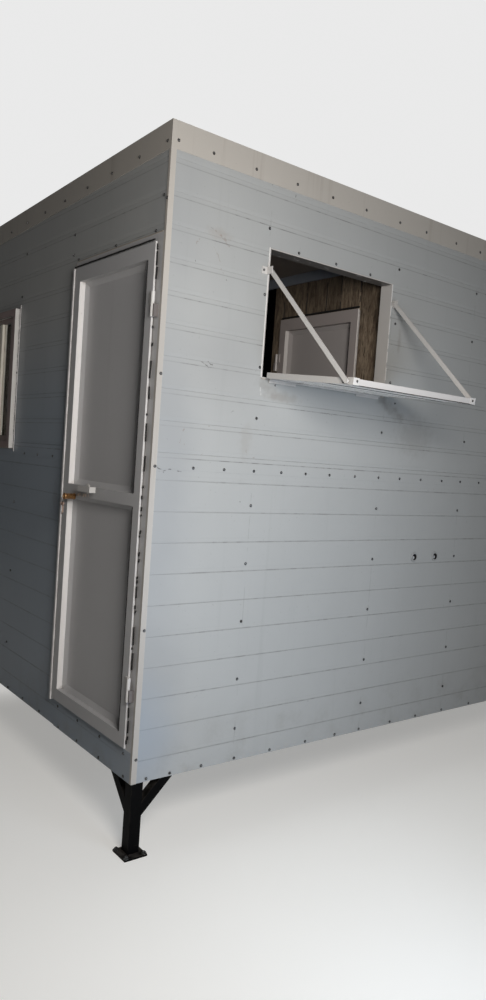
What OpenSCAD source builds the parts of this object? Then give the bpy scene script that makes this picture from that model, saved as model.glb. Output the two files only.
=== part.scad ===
// Portable site cabin: grooved steel cladding on a black steel frame and legs,
// a panelled entrance door, a sliding window and a serving hatch with a drop flap.
// Plan sizes run from the front left corner of the cladding: x along the hatch wall,
// y along the door wall, z up from the ground. The whole cabin is then centred.

/* [Cabin] */
// Length along the hatch wall
cabin_l = 3660; // [3400:10:4600]
// Width along the door wall
cabin_w = 2440; // [2340:10:3000]
// Height of the cladding on the hatch wall
cabin_h = 2520; // [2400:10:2800]
// Height of the cladding's lower edge above the ground
leg_h = 300; // [250:10:500]
// Fall of the roof towards the back, in degrees
roof_fall = 1.4; // [0.5:0.1:3]
// Thickness of a wall without its lining
wall_t = 62; // [62:1:80]
// Thickness of the lining boards
lining_t = 4; // [4:1:10]

/* [Cladding] */
// Height from one groove to the next
groove_pitch = 122; // [100:1:140]
// Height of the first groove above the lower edge
groove_first = 86; // [60:1:100]
// Groove width at the face
groove_w = 17; // [12:1:24]
// Depth where the groove's slope ends
groove_slope_d = 1; // [0.5:0.1:2]
// Width of the notch at the groove's lower side
notch_w = 3; // [2:0.5:6]
// Depth of the notch
notch_d = 2.2; // [2.1:0.1:6]
// Number of grooves on each sheet
sheet_grooves = 10; // [8:1:10]
// Height from the lower sheet's last groove to the upper sheet's first
lap_pitch = 105; // [90:1:122]
// Height of the upper sheet's first groove above its lower edge
lap_below = 63; // [50:1:75]
// Step where the upper sheet laps over the lower one
lap_d = 1.5; // [0.5:0.5:3]
// Width of a corner trim's leg on the long walls
trim_w = 22; // [18:1:50]
// Width of a corner trim's leg on the short walls
trim_side_w = 12; // [10:1:24]
// Thickness of folded trims and flashings
trim_t = 2; // [1:0.5:3]
// Height of the fascia flashing
fascia_h = 105; // [80:1:140]
// Width of the fascia's fold over the roof
fascia_fold = 70; // [40:1:100]

/* [Frame and floor] */
// Width of the square legs and corner posts
post_w = 50; // [40:1:60]
// Inset of the posts from the cladding's face
post_in = 12; // [8:1:12]
// Wall thickness of the steel tubes
tube_t = 4; // [2:0.5:6]
// Height of the floor beams
beam_h = 80; // [60:1:100]
// Width of the floor beams
beam_w = 40; // [30:1:60]
// Greatest spacing of the floor joists
joist_gap = 610; // [400:10:700]
// Thickness of the floor deck
deck_t = 20; // [12:1:30]
// Side of a leg's base plate
foot_w = 100; // [90:1:150]
// Thickness of a leg's base plate
foot_t = 8; // [6:1:12]
// Reach of a knee brace along its beam
brace_reach = 150; // [120:5:200]
// Diameter of the holes in a base plate
foot_hole = 10; // [8:1:12]
// Distance of those holes from the plate's edges
foot_hole_in = 10; // [9:1:14]
// Inset of a knee brace from its post's sides
brace_in = 5; // [2:1:8]

/* [Roof] */
// Height of the roof ribs
rib_h = 25; // [15:1:35]
// Width of a roof rib at its foot
rib_foot_w = 45; // [36:1:60]
// Width of a roof rib at its crest
rib_crest_w = 25; // [16:1:30]
// Spacing of the roof ribs
rib_pitch = 200; // [150:5:300]
// Depth of the roof sheet below the fascia's upper edge
roof_drop = 45; // [35:1:60]
// Thickness of the roof sheet
roof_t = 3; // [2:0.5:5]
// Thickness of the ceiling board
ceiling_t = 12; // [6:1:20]
// Height of the roof beams
roof_beam_h = 60; // [40:1:80]
// Distance of the outer roof beams from the end walls
roof_beam_in = 20; // [4:1:60]
// Space between the roof beams and the ceiling board
ceiling_gap = 22; // [10:1:60]
// Number of roof beams
roof_beams_n = 5; // [4:1:6]

/* [Entrance door] */
// Distance of the leaf's hinged edge from the corner
door_y = 46; // [44:1:60]
// Width of the door leaf
door_w = 686; // [600:1:760]
// Height of the leaf's lower edge above the cladding's
door_z = 130; // [126:1:150]
// Height of the wall left above the door leaf
over_door = 440; // [390:10:640]
// How far the leaf stands out from the cladding
door_proud = 15; // [12:1:20]
// Thickness of the leaf's outer flange
flange_t = 8; // [6:1:8]
// Width of the leaf's flange beyond its body
flange_w = 36; // [34:1:40]
// Depth of the leaf's body behind the flange
leaf_body = 44; // [42:1:48]
// Width of the stiles
stile_w = 48; // [40:1:70]
// Height of the upper rail
upper_rail_h = 62; // [50:1:90]
// Height of the lower rail
lower_rail_h = 54; // [50:1:120]
// Height of the lock rail
lock_rail_h = 49; // [40:1:100]
// Height of the lock rail's upper edge above the leaf's lower edge
lock_rail_z = 993; // [900:1:1100]
// Depth of the panels behind the leaf's face
panel_in = 38; // [28:1:40]
// Thickness of the door panels
panel_t = 8; // [6:1:8]
// Width of the bevelled bead round each panel
bead_w = 22; // [12:1:30]
// Height of that bead at the panel's edge
bead_d = 12; // [6:1:16]
// Width of a door frame's inner member
jamb_w = 22; // [18:1:26]
// Clearance between the leaf's free edge and the raised strip beside it
lip_gap = 9; // [6:1:12]
// Width of that strip
lip_w = 13; // [8:1:40]
// How far that strip stands out beyond the leaf
lip_over = 4; // [2:1:8]
// Height of the apron's upper edge below the leaf
sill_gap = 10; // [6:1:16]
// Height of the frame's flange above its opening
head_strip = 40; // [30:1:60]
// Diameter of a hinge knuckle
hinge_d = 16; // [12:1:18]
// Length of a hinge
hinge_l = 94; // [70:1:110]
// Distance of the hinges from the leaf's ends
hinge_end = 190; // [120:5:300]
// Distance of the lever's neck from the leaf's free edge
lever_in = 246; // [200:1:300]
// Length of the lever
lever_l = 112; // [90:1:130]
// Height of the lever
lever_h = 24; // [14:1:30]
// Thickness of the lever
lever_t = 13; // [8:1:18]
// Reach of the lever in front of the leaf
lever_out = 45; // [38:1:50]
// Gap left between the leaf and the lever's turned end
lever_end_gap = 17; // [8:1:24]
// Diameter of the lever's neck
lever_neck_d = 18; // [12:1:20]
// Depth of the lever below the lock rail's upper edge
lever_down = 9; // [9:1:20]
// Distance of the lock cylinder from the leaf's free edge
lock_in = 117; // [80:1:140]
// Diameter of the lock cylinder
lock_d = 28; // [20:1:34]
// Reach of the lock cylinder in front of the leaf
lock_l = 50; // [50:1:60]
// Depth of the lock cylinder below the lock rail's upper edge
lock_down = 53; // [20:1:56]
// Distance of the inner door's lever from its free edge
inner_lever_in = 108; // [80:1:300]

/* [Window] */
// Distance from the window's frame to the cladding's back corner
window_from_back = 328; // [250:1:420]
// Width of the window frame
window_w = 700; // [500:10:800]
// Height of the window frame's lower edge above the cladding's
window_z = 1258; // [1100:1:1300]
// Height of the window frame
window_h = 722; // [600:1:760]
// How far the window frame stands out from the cladding
window_proud = 27; // [20:1:50]
// Width of the window frame's face
window_face = 34; // [25:1:45]
// Width of the sash members
sash_w = 30; // [20:1:40]
// Thickness of a sash
sash_t = 20; // [16:1:24]
// How far the outer sash stands out from the cladding
sash_out = 8; // [0:1:16]
// Gap between the two sashes
sash_gap = 2; // [1:1:4]
// Thickness of the glass
glass_t = 5; // [4:1:6]

/* [Serving hatch] */
// Distance of the opening from the corner
hatch_x = 503; // [480:1:700]
// Width of the opening
hatch_w = 744; // [600:1:760]
// Height of the opening's sill above the cladding's lower edge
hatch_z = 1632; // [1500:1:1700]
// Height of the opening
hatch_h = 524; // [400:1:560]
// Thickness of the hatch lining
hatch_lining = 4; // [3:1:10]
// How far the hatch lining stands out from the cladding
hatch_proud = 2; // [0:1:4]
// Clearance below the closed flap
flap_gap = 8; // [6:1:12]
// Clearance above the closed flap
flap_top_gap = 18; // [8:1:24]
// Clearance at each side of the closed flap
flap_side_gap = 6; // [6:1:10]
// Thickness of the flap
flap_t = 24; // [20:1:28]
// Depth of the flap's panel behind its edge frame's face
flap_panel_in = 1; // [1:1:4]
// Thickness of the flap's panel
flap_panel_t = 20; // [12:1:20]
// Width of the flap's edge frame
flap_rim = 22; // [16:1:30]
// Angle the flap opens beyond the upright, in degrees
flap_open = 95; // [88:1:100]
// How far the closed flap stands out from the cladding
flap_proud = 8; // [8:1:12]
// Distance of the flap's hinge line below the closed flap
flap_hinge_below = 14; // [13:1:20]
// Thickness of the flap's hinge plates
flap_strap_t = 3; // [2:1:4]
// Diameter of the flap hinge's knuckles
flap_knuckle_d = 9; // [8:1:10]
// Height of the flap hinge's plates below its line
flap_plate_h = 14; // [10:1:40]
// Length of the fixed knuckles at each end of the flap's hinge
flap_knuckle_l = 150; // [100:10:200]
// Width of the flat stay bars
stay_w = 19; // [18:1:30]
// Thickness of the stay bars
stay_t = 4; // [3:0.5:5]
// Distance of the stays' upper pins in front of the cladding
stay_pin_out = 20; // [20:1:30]
// Distance between a stay and the opening's side
stay_beside = 5; // [4:1:8]
// Height of the stays' upper pins below the opening's head
stay_pin_down = 91; // [60:1:100]
// Distance of the stays' feet from the flap's outer edge
stay_foot_in = 22; // [20:1:80]
// Diameter of the stay pins
stay_pin_d = 8; // [6:1:10]

/* [Partition] */
// Distance of the partition from the door wall's face
part_x = 1302; // [1290:1:1400]
// Thickness of the partition
part_t = 60; // [50:1:70]
// Distance of the inner leaf's free edge from the hatch wall's face
inner_y = 247; // [200:1:300]
// Width of the inner door leaf
inner_w = 600; // [560:1:650]
// Width of the boards between the inner door's frame and the steel post
part_strip_w = 84; // [40:1:120]
// Width of the steel post in the partition
part_post_w = 100; // [50:1:120]

/* [Holes] */
// Diameter of the pipe sleeves in the hatch wall
sleeve_d = 34; // [20:1:50]
// Distance of the first pipe sleeve from the corner
sleeve_x = 1572; // [1450:1:1700]
// Thickness of a pipe sleeve
sleeve_t = 3; // [2:1:5]
// Width of the rim round a pipe sleeve
sleeve_rim = 6; // [4:1:12]
// Distance between the two pipe sleeves
sleeve_gap = 164; // [100:1:250]
// Height of the pipe sleeves above the cladding's lower edge
sleeve_z = 852; // [700:1:1000]

/* [Hidden] */

$fn = 48;
eps = 0.02;
white = "#f1f0ea";
cream = "#e9e6d6";
sheet = "#dfe2e2";
black = "#1b1b1d";
timber = "#6b4a38";

// Ground to the cladding's edges, and the sloping top of the short walls
z0 = leg_h;
top_front = z0 + cabin_h;
roof_slope = tan(roof_fall);
top_back = top_front - roof_slope * cabin_w;
inner_t = wall_t + lining_t;
ceiling_z = top_back - roof_drop - roof_beam_h - ceiling_t - ceiling_gap;
beyond = 200;
cut = 1;

beam_base = 3;
beam_top = beam_base + beam_h;
deck_top = z0 + beam_top + deck_t;

// Where the cladding alone passes in front of the posts and floor beams
skin_t = post_in - 1;
post_clear = 2;
post_end = post_in + post_w + post_clear;

// Heights of the two sheets' grooves
lower_grooves = [for (i = [0:sheet_grooves - 1]) groove_first + i * groove_pitch];
upper_first = groove_first + (sheet_grooves - 1) * groove_pitch + lap_pitch;
upper_grooves = [for (i = [0:sheet_grooves - 1]) upper_first + i * groove_pitch];
lap_z = upper_first - lap_below;

// The door leaf and its frame, measured on the door wall
door_h = cabin_h - over_door - door_z;
window_y = cabin_w - window_from_back - window_w;
door_top = door_z + door_h;
body_y0 = door_y + flange_w;
body_y1 = door_y + door_w - flange_w;
body_top = door_top - flange_w;
leaf_gap = 8;
open_y0 = body_y0 - leaf_gap - jamb_w;
open_y1 = body_y1 + leaf_gap + jamb_w;
open_top = body_top + leaf_gap + jamb_w;
door_open_w = open_y1 - open_y0 - 2 * jamb_w;
apron_h = door_z - sill_gap;
casing_end = door_y + door_w + lip_gap + lip_w;
leaf_t = flange_t + leaf_body;
leaf_foot = 2;
hinge_axis_in = 4;
hinge_axis_side = 11;
hinge_pin_d = 8;
hinge_seat = 0.3;
hinge_plate_t = 3;
hinge_plate_w = 16;
hinge_web_t = 6;
lever_z = lock_rail_z - lever_down;
lock_z = lock_rail_z - lock_down;

// The hatch flap, its hinge line and the stays
flap_w = hatch_w - 2 * flap_side_gap;
flap_l = hatch_h - flap_gap - flap_top_gap;
flap_x = hatch_x + flap_side_gap;
flap_z = z0 + hatch_z + flap_gap;
flap_axis_y = -flap_proud - flap_strap_t / 2;
flap_axis_z = flap_z - flap_hinge_below;
stay_axis_y = -stay_pin_out;
stay_axis_z = z0 + hatch_z + hatch_h - stay_pin_down;
foot_r = flap_hinge_below + flap_l - stay_foot_in;
foot_off = flap_strap_t / 2 + flap_t / 2;
foot_y = flap_axis_y - foot_r * sin(flap_open) + foot_off * cos(flap_open);
foot_z = flap_axis_z + foot_r * cos(flap_open) + foot_off * sin(flap_open);
stay_l = norm([foot_y - stay_axis_y, foot_z - stay_axis_z]);
stay_tilt = atan2(stay_axis_y - foot_y, stay_axis_z - foot_z);
stay_side_gap = 1.5;
stay_foot_gap = 1.5;
stay_pin_over = 3;
strap_gap = 1;
pin_gap = 0.5;
bracket_w = 30;
bracket_t = 3;
flap_hinge_end = 30;

// The sashes, and the pipe sleeves' ends
sash_h = window_h - 2 * window_face;
window_open = window_w - 2 * window_face;
sash_l = window_open / 2 + sash_w / 2;
sleeve_out = 4;
sleeve_in = 2;

// The inner door and partition
inner_open_y0 = inner_y + flange_w - leaf_gap - jamb_w;
inner_open_y1 = inner_y + inner_w - flange_w + leaf_gap + jamb_w;
inner_open_top = z0 + open_top;
part_post_y = inner_open_y1 + part_strip_w;

// Overall box: the flap's edge in front, the fascia behind, the lock and fascia at the sides
flap_tip_y = flap_strap_t / 2 + flap_t;
flap_reach = (flap_hinge_below + flap_l) * sin(flap_open) - flap_tip_y * cos(flap_open) - flap_axis_y;
lock_reach = door_proud + lock_l;
foot_over = foot_w / 2 - post_w / 2 - post_in;
mid_x = (cabin_l + foot_over - lock_reach) / 2;
mid_y = (cabin_w + foot_over - flap_reach) / 2;

module place() {
    translate([-mid_x, -mid_y, 0]) children();
}

// Half space above the sloping top of the short walls
module above_roof_line(drop) {
    translate([-beyond, -beyond, top_front - drop + beyond * roof_slope])
        rotate([-roof_fall, 0, 0])
            cube([cabin_l + 2 * beyond, cabin_w + 3 * beyond, cabin_h]);
}

// Block over the cabin's plan, up to the sloping top
module below_roof_line(drop, over) {
    difference() {
        translate([-over, -over, z0]) cube([cabin_l + 2 * over, cabin_w + 2 * over, cabin_h + over]);
        above_roof_line(drop);
    }
}

// Outer part of a wall in section: depth to the right, height up, grooves on the left
module skin_section(za, zb, depth) {
    difference() {
        translate([0, za]) square([depth, zb - za]);
        for (g = concat(lower_grooves, upper_grooves))
            if (g > za - groove_w && g < zb)
                translate([0, g])
                    polygon([[-cut, 0], [notch_d, 0], [groove_slope_d, notch_w], [0, groove_w],
                        [-cut, groove_w]]);
        if (lap_z > za)
            translate([-cut, za - cut]) square([cut + lap_d, min(lap_z, zb) - za + cut]);
        if (depth > skin_t && za < beam_top)
            translate([skin_t, za - cut]) square([depth, beam_top - za + cut]);
    }
}

// Wall along x with its grooved face towards -y, between two heights above the cladding's edge
module wall_x(xa, xb, za, zb, depth = wall_t) {
    translate([xa, 0, z0])
        rotate([90, 0, 90])
            linear_extrude(xb - xa) skin_section(za, zb, depth);
}

// Wall along y with its grooved face towards -x
module wall_y(ya, yb, za, zb, depth = wall_t) {
    translate([0, yb, z0])
        rotate([90, 0, 0])
            linear_extrude(yb - ya) skin_section(za, zb, depth);
}

// Perimeter beams between the corner posts
module floor_beams() {
    color(black) place() translate([0, 0, z0 + beam_base]) {
        for (y = [skin_t, cabin_w - skin_t - beam_w])
            translate([post_in + post_w, y, 0])
                cube([cabin_l - 2 * (post_in + post_w), beam_w, beam_h]);
        for (x = [skin_t, cabin_l - skin_t - beam_w])
            translate([x, post_in + post_w, 0])
                cube([beam_w, cabin_w - 2 * (post_in + post_w), beam_h]);
    }
}

// Joists between the two long beams
module floor_joists() {
    bays = ceil(cabin_l / joist_gap);
    color(black) place()
        for (i = [1:bays - 1])
            translate([i * cabin_l / bays - beam_w / 2, skin_t + beam_w, z0 + beam_base])
                cube([beam_w, cabin_w - 2 * (skin_t + beam_w), beam_h]);
}

module floor_deck() {
    color("#6d675e") place()
        translate([wall_t, wall_t, z0 + beam_top])
            cube([cabin_l - 2 * wall_t, cabin_w - 2 * wall_t, deck_t]);
}

module corner_posts() {
    color(black) place()
        for (x = [post_in, cabin_l - post_in - post_w], y = [post_in, cabin_w - post_in - post_w])
            translate([x, y, z0 + beam_base])
                difference() {
                    cube([post_w, post_w, top_back - roof_drop - z0 - beam_base]);
                    translate([tube_t, tube_t, -cut])
                        cube([post_w - 2 * tube_t, post_w - 2 * tube_t, cabin_h]);
                }
}

// A leg with its base plate and two knee braces, for the front left corner
module leg() {
    c = post_in + post_w / 2;
    brace_w = post_w - 2 * brace_in;
    brace_run = brace_w * sqrt(2);
    brace_z = z0 + beam_base;
    translate([post_in, post_in, foot_t])
        cube([post_w, post_w, z0 + beam_base - foot_t]);
    difference() {
        translate([c - foot_w / 2, c - foot_w / 2, 0]) cube([foot_w, foot_w, foot_t]);
        for (x = [-1, 1], y = [-1, 1])
            translate([c + x * (foot_w / 2 - foot_hole_in), c + y * (foot_w / 2 - foot_hole_in), -cut])
                cylinder(d = foot_hole, h = foot_t + 2 * cut);
    }
    for (turn = [0, 1])
        translate([c, c, 0]) mirror([turn, -turn, 0]) translate([-c, -c, 0])
            translate([0, post_in + (post_w - brace_w) / 2, 0])
                rotate([90, 0, 0]) mirror([0, 0, 1])
                    linear_extrude(brace_w)
                        polygon([[post_in + post_w, brace_z - brace_reach],
                            [post_in + post_w + brace_reach, brace_z],
                            [post_in + post_w + brace_reach - brace_run, brace_z],
                            [post_in + post_w, brace_z - brace_reach + brace_run]]);
}

module leg_front_left() {
    color(black) place() leg();
}

module leg_front_right() {
    color(black) place() translate([cabin_l, 0, 0]) mirror([1, 0, 0]) leg();
}

module leg_back_left() {
    color(black) place() translate([0, cabin_w, 0]) mirror([0, 1, 0]) leg();
}

module leg_back_right() {
    color(black) place() translate([cabin_l, cabin_w, 0]) mirror([1, 0, 0]) mirror([0, 1, 0]) leg();
}

module hatch_wall_left() {
    color(sheet) place()
        difference() {
            union() {
                wall_x(0, post_end, 0, cabin_h, skin_t);
                wall_x(post_end - eps, hatch_x - hatch_lining, 0, cabin_h);
            }
            above_roof_line(trim_t);
        }
}

module hatch_wall_right() {
    color(sheet) place()
        difference() {
            union() {
                wall_x(hatch_x + hatch_w + hatch_lining, cabin_l - post_end + eps, 0, cabin_h);
                wall_x(cabin_l - post_end, cabin_l, 0, cabin_h, skin_t);
            }
            above_roof_line(trim_t);
            for (i = [0, 1])
                translate([sleeve_x + i * sleeve_gap, -cut, z0 + sleeve_z])
                    rotate([-90, 0, 0]) cylinder(d = sleeve_d, h = wall_t + 2 * cut);
        }
}

module hatch_wall_below() {
    color(sheet) place()
        wall_x(hatch_x - hatch_lining, hatch_x + hatch_w + hatch_lining, 0, hatch_z - hatch_lining);
}

module hatch_wall_above() {
    color(sheet) place()
        difference() {
            wall_x(hatch_x - hatch_lining, hatch_x + hatch_w + hatch_lining,
                hatch_z + hatch_h + hatch_lining, cabin_h);
            above_roof_line(trim_t);
        }
}

module door_wall_over_door() {
    color(sheet) place()
        difference() {
            union() {
                wall_y(skin_t, post_end, open_top, cabin_h, skin_t);
                wall_y(post_end - eps, open_y1, open_top, cabin_h);
            }
            above_roof_line(trim_t);
        }
}

module door_wall_middle() {
    color(sheet) place()
        difference() {
            wall_y(open_y1, window_y, 0, cabin_h);
            above_roof_line(trim_t);
        }
}

module door_wall_below_window() {
    color(sheet) place()
        wall_y(window_y, window_y + window_w, 0, window_z);
}

module door_wall_above_window() {
    color(sheet) place()
        difference() {
            wall_y(window_y, window_y + window_w, window_z + window_h, cabin_h);
            above_roof_line(trim_t);
        }
}

module door_wall_back() {
    color(sheet) place()
        difference() {
            union() {
                wall_y(window_y + window_w, cabin_w - post_end + eps, 0, cabin_h);
                wall_y(cabin_w - post_end, cabin_w - skin_t, 0, cabin_h, skin_t);
            }
            above_roof_line(trim_t);
        }
}

// Flat sheet below the door
module door_apron() {
    color(sheet) place()
        translate([0, 0, z0]) {
            translate([-trim_t, trim_side_w, 0])
                cube([trim_t, open_y1 - trim_side_w, apron_h]);
            translate([-eps, trim_side_w, 0])
                cube([skin_t + eps, open_y1 - trim_side_w, deck_top - z0]);
            translate([0, skin_t, 0])
                cube([skin_t, trim_side_w, deck_top - z0]);
        }
}

module back_wall() {
    color(sheet) place()
        difference() {
            translate([cabin_l, cabin_w, 0]) rotate([0, 0, 180]) {
                wall_x(0, post_end, 0, cabin_h, skin_t);
                wall_x(post_end - eps, cabin_l - post_end + eps, 0, cabin_h);
                wall_x(cabin_l - post_end, cabin_l, 0, cabin_h, skin_t);
            }
            above_roof_line(trim_t);
        }
}

module end_wall() {
    color(sheet) place()
        difference() {
            translate([cabin_l, 0, 0]) mirror([1, 0, 0]) {
                wall_y(skin_t, post_end, 0, cabin_h, skin_t);
                wall_y(post_end - eps, cabin_w - post_end + eps, 0, cabin_h);
                wall_y(cabin_w - post_end, cabin_w - skin_t, 0, cabin_h, skin_t);
            }
            above_roof_line(trim_t);
        }
}

// Boards that line the four walls inside, cut out at the openings
module lining_boards() {
    color(timber) place()
        difference() {
            translate([wall_t, wall_t, deck_top])
                cube([cabin_l - 2 * wall_t, cabin_w - 2 * wall_t, ceiling_z - deck_top]);
            translate([inner_t, inner_t, deck_top - cut])
                cube([cabin_l - 2 * inner_t, cabin_w - 2 * inner_t, ceiling_z - deck_top + 2 * cut]);
            translate([hatch_x - hatch_lining, 0, z0 + hatch_z - hatch_lining])
                cube([hatch_w + 2 * hatch_lining, 2 * inner_t, hatch_h + 2 * hatch_lining]);
            translate([0, open_y0, z0])
                cube([2 * inner_t, open_y1 - open_y0, open_top]);
            translate([0, window_y, z0 + window_z])
                cube([2 * inner_t, window_w, window_h]);
            for (i = [0, 1])
                translate([sleeve_x + i * sleeve_gap, 0, z0 + sleeve_z])
                    rotate([-90, 0, 0]) cylinder(d = sleeve_d, h = 2 * inner_t);
        }
}

// Angle trims over the four corners
module corner_trim(side_w) {
    translate([-trim_t, -trim_t, z0]) cube([trim_w + trim_t, trim_t, cabin_h]);
    translate([-trim_t, -trim_t, z0]) cube([trim_t, side_w + trim_t, cabin_h]);
}

module corner_trims() {
    color(cream) place()
        difference() {
            union() {
                corner_trim(trim_side_w);
                translate([cabin_l, 0, 0]) mirror([1, 0, 0]) corner_trim(trim_w);
                translate([0, cabin_w, 0]) mirror([0, 1, 0]) corner_trim(trim_w);
                translate([cabin_l, cabin_w, 0]) mirror([1, 0, 0]) mirror([0, 1, 0]) corner_trim(trim_w);
            }
            above_roof_line(fascia_h);
        }
}

// Folded flashing round the roof's edge
module fascia() {
    color(cream) place()
        difference() {
            below_roof_line(0, trim_t);
            below_roof_line(fascia_h, 2 * trim_t);
            below_roof_line(trim_t, 0);
            translate([fascia_fold - trim_t, fascia_fold - trim_t, z0])
                cube([cabin_l - 2 * (fascia_fold - trim_t), cabin_w - 2 * (fascia_fold - trim_t), 2 * cabin_h]);
        }
}

// Ribbed roof sheet, its ribs running down the fall
module roof_sheet() {
    ribs = floor((cabin_l - 2 * wall_t) / rib_pitch);
    first = (cabin_l - (ribs - 1) * rib_pitch) / 2;
    foot = rib_foot_w / 2;
    crest = rib_crest_w / 2;
    upper = [for (i = [0:ribs - 1], p = [[-foot, roof_t], [-crest, rib_h], [crest, rib_h], [foot, roof_t]])
        [first + i * rib_pitch + p[0], p[1]]];
    lower = [for (i = [ribs - 1:-1:0], p = [[foot - roof_t, 0], [crest - roof_t, rib_h - roof_t],
        [roof_t - crest, rib_h - roof_t], [roof_t - foot, 0]]) [first + i * rib_pitch + p[0], p[1]]];
    outline = concat([[wall_t, roof_t]], upper, [[cabin_l - wall_t, roof_t], [cabin_l - wall_t, 0]],
        lower, [[wall_t, 0]]);
    color("#9aa0a0") place()
        translate([0, wall_t, top_front - roof_drop - roof_slope * wall_t])
            rotate([90 - roof_fall, 0, 0]) mirror([0, 0, 1])
                linear_extrude((cabin_w - 2 * wall_t) / cos(roof_fall) - rib_h * sin(roof_fall))
                    polygon(outline);
}

module roof_beams() {
    color("#5b6470") place()
        for (i = [0:roof_beams_n - 1]) {
            first = wall_t + roof_beam_in;
            step = (cabin_l - 2 * first - beam_w) / (roof_beams_n - 1);
            beam_z = top_front - roof_drop - roof_slope * wall_t - roof_beam_h / cos(roof_fall) - eps;
            beam_l = (cabin_w - 2 * wall_t) / cos(roof_fall) - roof_beam_h * sin(roof_fall);
            translate([first + i * step, wall_t, beam_z])
                rotate([-roof_fall, 0, 0]) cube([beam_w, beam_l, roof_beam_h]);
        }
}

module ceiling() {
    color("#3a3a3c") place()
        translate([wall_t, wall_t, ceiling_z])
            cube([cabin_l - 2 * wall_t, cabin_w - 2 * wall_t, ceiling_t]);
}

// The openings of a leaf's two panels: lower and upper edge of each
panel_heights = [[lower_rail_h, lock_rail_z - lock_rail_h], [lock_rail_z, door_h - upper_rail_h]];

// Leaf of a panelled door: flange, body and the openings of its two panels.
// Its face lies on x = 0 and its hinged edge on y = 0.
module leaf(w) {
    difference() {
        union() {
            cube([flange_t, w, door_h]);
            translate([0, flange_w, leaf_foot]) cube([leaf_t, w - 2 * flange_w, door_h - flange_w - leaf_foot]);
        }
        for (zs = panel_heights)
            translate([-cut, stile_w, zs[0]])
                cube([leaf_t + 2 * cut, w - 2 * stile_w, zs[1] - zs[0]]);
    }
}

// Straight bevelled bead along z, thick at y = 0 and thinning out along the panel
module bead(l) {
    linear_extrude(l) polygon([[0, 0], [-bead_d, 0], [0, bead_w]]);
}

// The two panels, each with bevelled beads that meet in its corners
module leaf_panels(w) {
    panel_w = w - 2 * stile_w;
    for (zs = panel_heights) {
        panel_h = zs[1] - zs[0];
        translate([panel_in, stile_w, zs[0]]) {
            cube([panel_t, panel_w, panel_h]);
            bead(panel_h);
            translate([0, panel_w, 0]) mirror([0, 1, 0]) bead(panel_h);
            mirror([0, 1, -1]) bead(panel_w);
            translate([0, 0, panel_h]) mirror([0, 0, 1]) mirror([0, 1, -1]) bead(panel_w);
        }
    }
}

module door_frame() {
    color(white) place() translate([0, 0, z0]) {
        difference() {
            union() {
                translate([0, open_y0, deck_top - z0])
                    cube([inner_t, open_y1 - open_y0, open_top - deck_top + z0]);
                translate([-eps, open_y0, apron_h])
                    cube([inner_t, open_y1 - open_y0, open_top - apron_h]);
            }
            translate([-cut, open_y0 + jamb_w, deck_top - z0 + jamb_w])
                cube([inner_t + 2 * cut, door_open_w, open_top - deck_top + z0 - 2 * jamb_w]);
            translate([skin_t, 0, 0])
                cube([inner_t, post_end, cabin_h]);
        }
        translate([0, skin_t, deck_top - z0])
            cube([skin_t, open_y0 - skin_t + eps, open_top - deck_top + z0]);
        difference() {
            translate([-trim_t, trim_side_w, apron_h])
                cube([trim_t, casing_end - trim_side_w, open_top + head_strip - apron_h]);
            translate([-trim_t - cut, open_y0 + jamb_w, 0])
                cube([trim_t + 2 * cut, door_open_w, open_top - jamb_w]);
        }
        translate([-door_proud - lip_over, casing_end - lip_w, apron_h])
            cube([door_proud + lip_over, lip_w, door_top - apron_h]);
    }
}

module door_leaf() {
    color(white) place() translate([-door_proud, door_y, z0 + door_z]) leaf(door_w);
}

module door_panels() {
    color(white) place() translate([-door_proud, door_y, z0 + door_z]) leaf_panels(door_w);
}

// Frame's half of a hinge, measured from the leaf's face and hinged edge: knuckle, pin and plate
module frame_hinge(frame_in) {
    translate([-hinge_axis_in, -hinge_axis_side, 0]) {
        cylinder(d = hinge_d, h = hinge_l / 2 - hinge_seat / 2);
        cylinder(d = hinge_pin_d, h = hinge_l - hinge_seat);
        translate([-hinge_plate_t, -hinge_plate_w, 0])
            cube([hinge_axis_in + frame_in + hinge_plate_t, hinge_web_t, hinge_l / 2 - hinge_seat / 2]);
        translate([-hinge_plate_t, -hinge_plate_w, 0])
            cube([hinge_plate_t, hinge_plate_w, hinge_l / 2 - hinge_seat / 2]);
    }
}

// Leaf's half of a hinge: knuckle bored for the pin, and a plate on the leaf's face
module leaf_hinge() {
    h = hinge_l / 2 - hinge_seat / 2;
    translate([-hinge_axis_in, -hinge_axis_side, hinge_l - h])
        difference() {
            union() {
                cylinder(d = hinge_d, h = h);
                cube([hinge_axis_in, hinge_axis_side + hinge_plate_w, h]);
            }
            translate([0, 0, -cut]) cylinder(d = hinge_pin_d + hinge_seat * 2, h = h + 2 * cut);
        }
}

hinge_heights = [hinge_end, door_h - hinge_end - hinge_l];

module door_hinges() {
    color(white) place()
        for (z = hinge_heights)
            translate([-door_proud, door_y, z0 + door_z + z]) frame_hinge(door_proud - trim_t);
}

module door_hinge_leaves() {
    color(white) place()
        for (z = hinge_heights)
            translate([-door_proud, door_y, z0 + door_z + z]) leaf_hinge();
}

// Lever on its neck, its bar towards -y and its end turned back to the leaf at x = 0
module lever() {
    rotate([0, -90, 0]) cylinder(d = lever_neck_d, h = lever_out);
    translate([-lever_out, lever_neck_d / 2 - lever_l, -lever_h / 2]) {
        cube([lever_t, lever_l, lever_h]);
        cube([lever_out - lever_end_gap, lever_t, lever_h]);
    }
}

module door_lever() {
    color(white) place()
        translate([-door_proud, door_y + door_w - lever_in, z0 + door_z + lever_z]) lever();
}

module door_lock() {
    color("#b49a56") place()
        translate([-door_proud, door_y + door_w - lock_in, z0 + door_z + lock_z])
            rotate([0, -90, 0]) cylinder(d = lock_d, h = lock_l);
}

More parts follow.
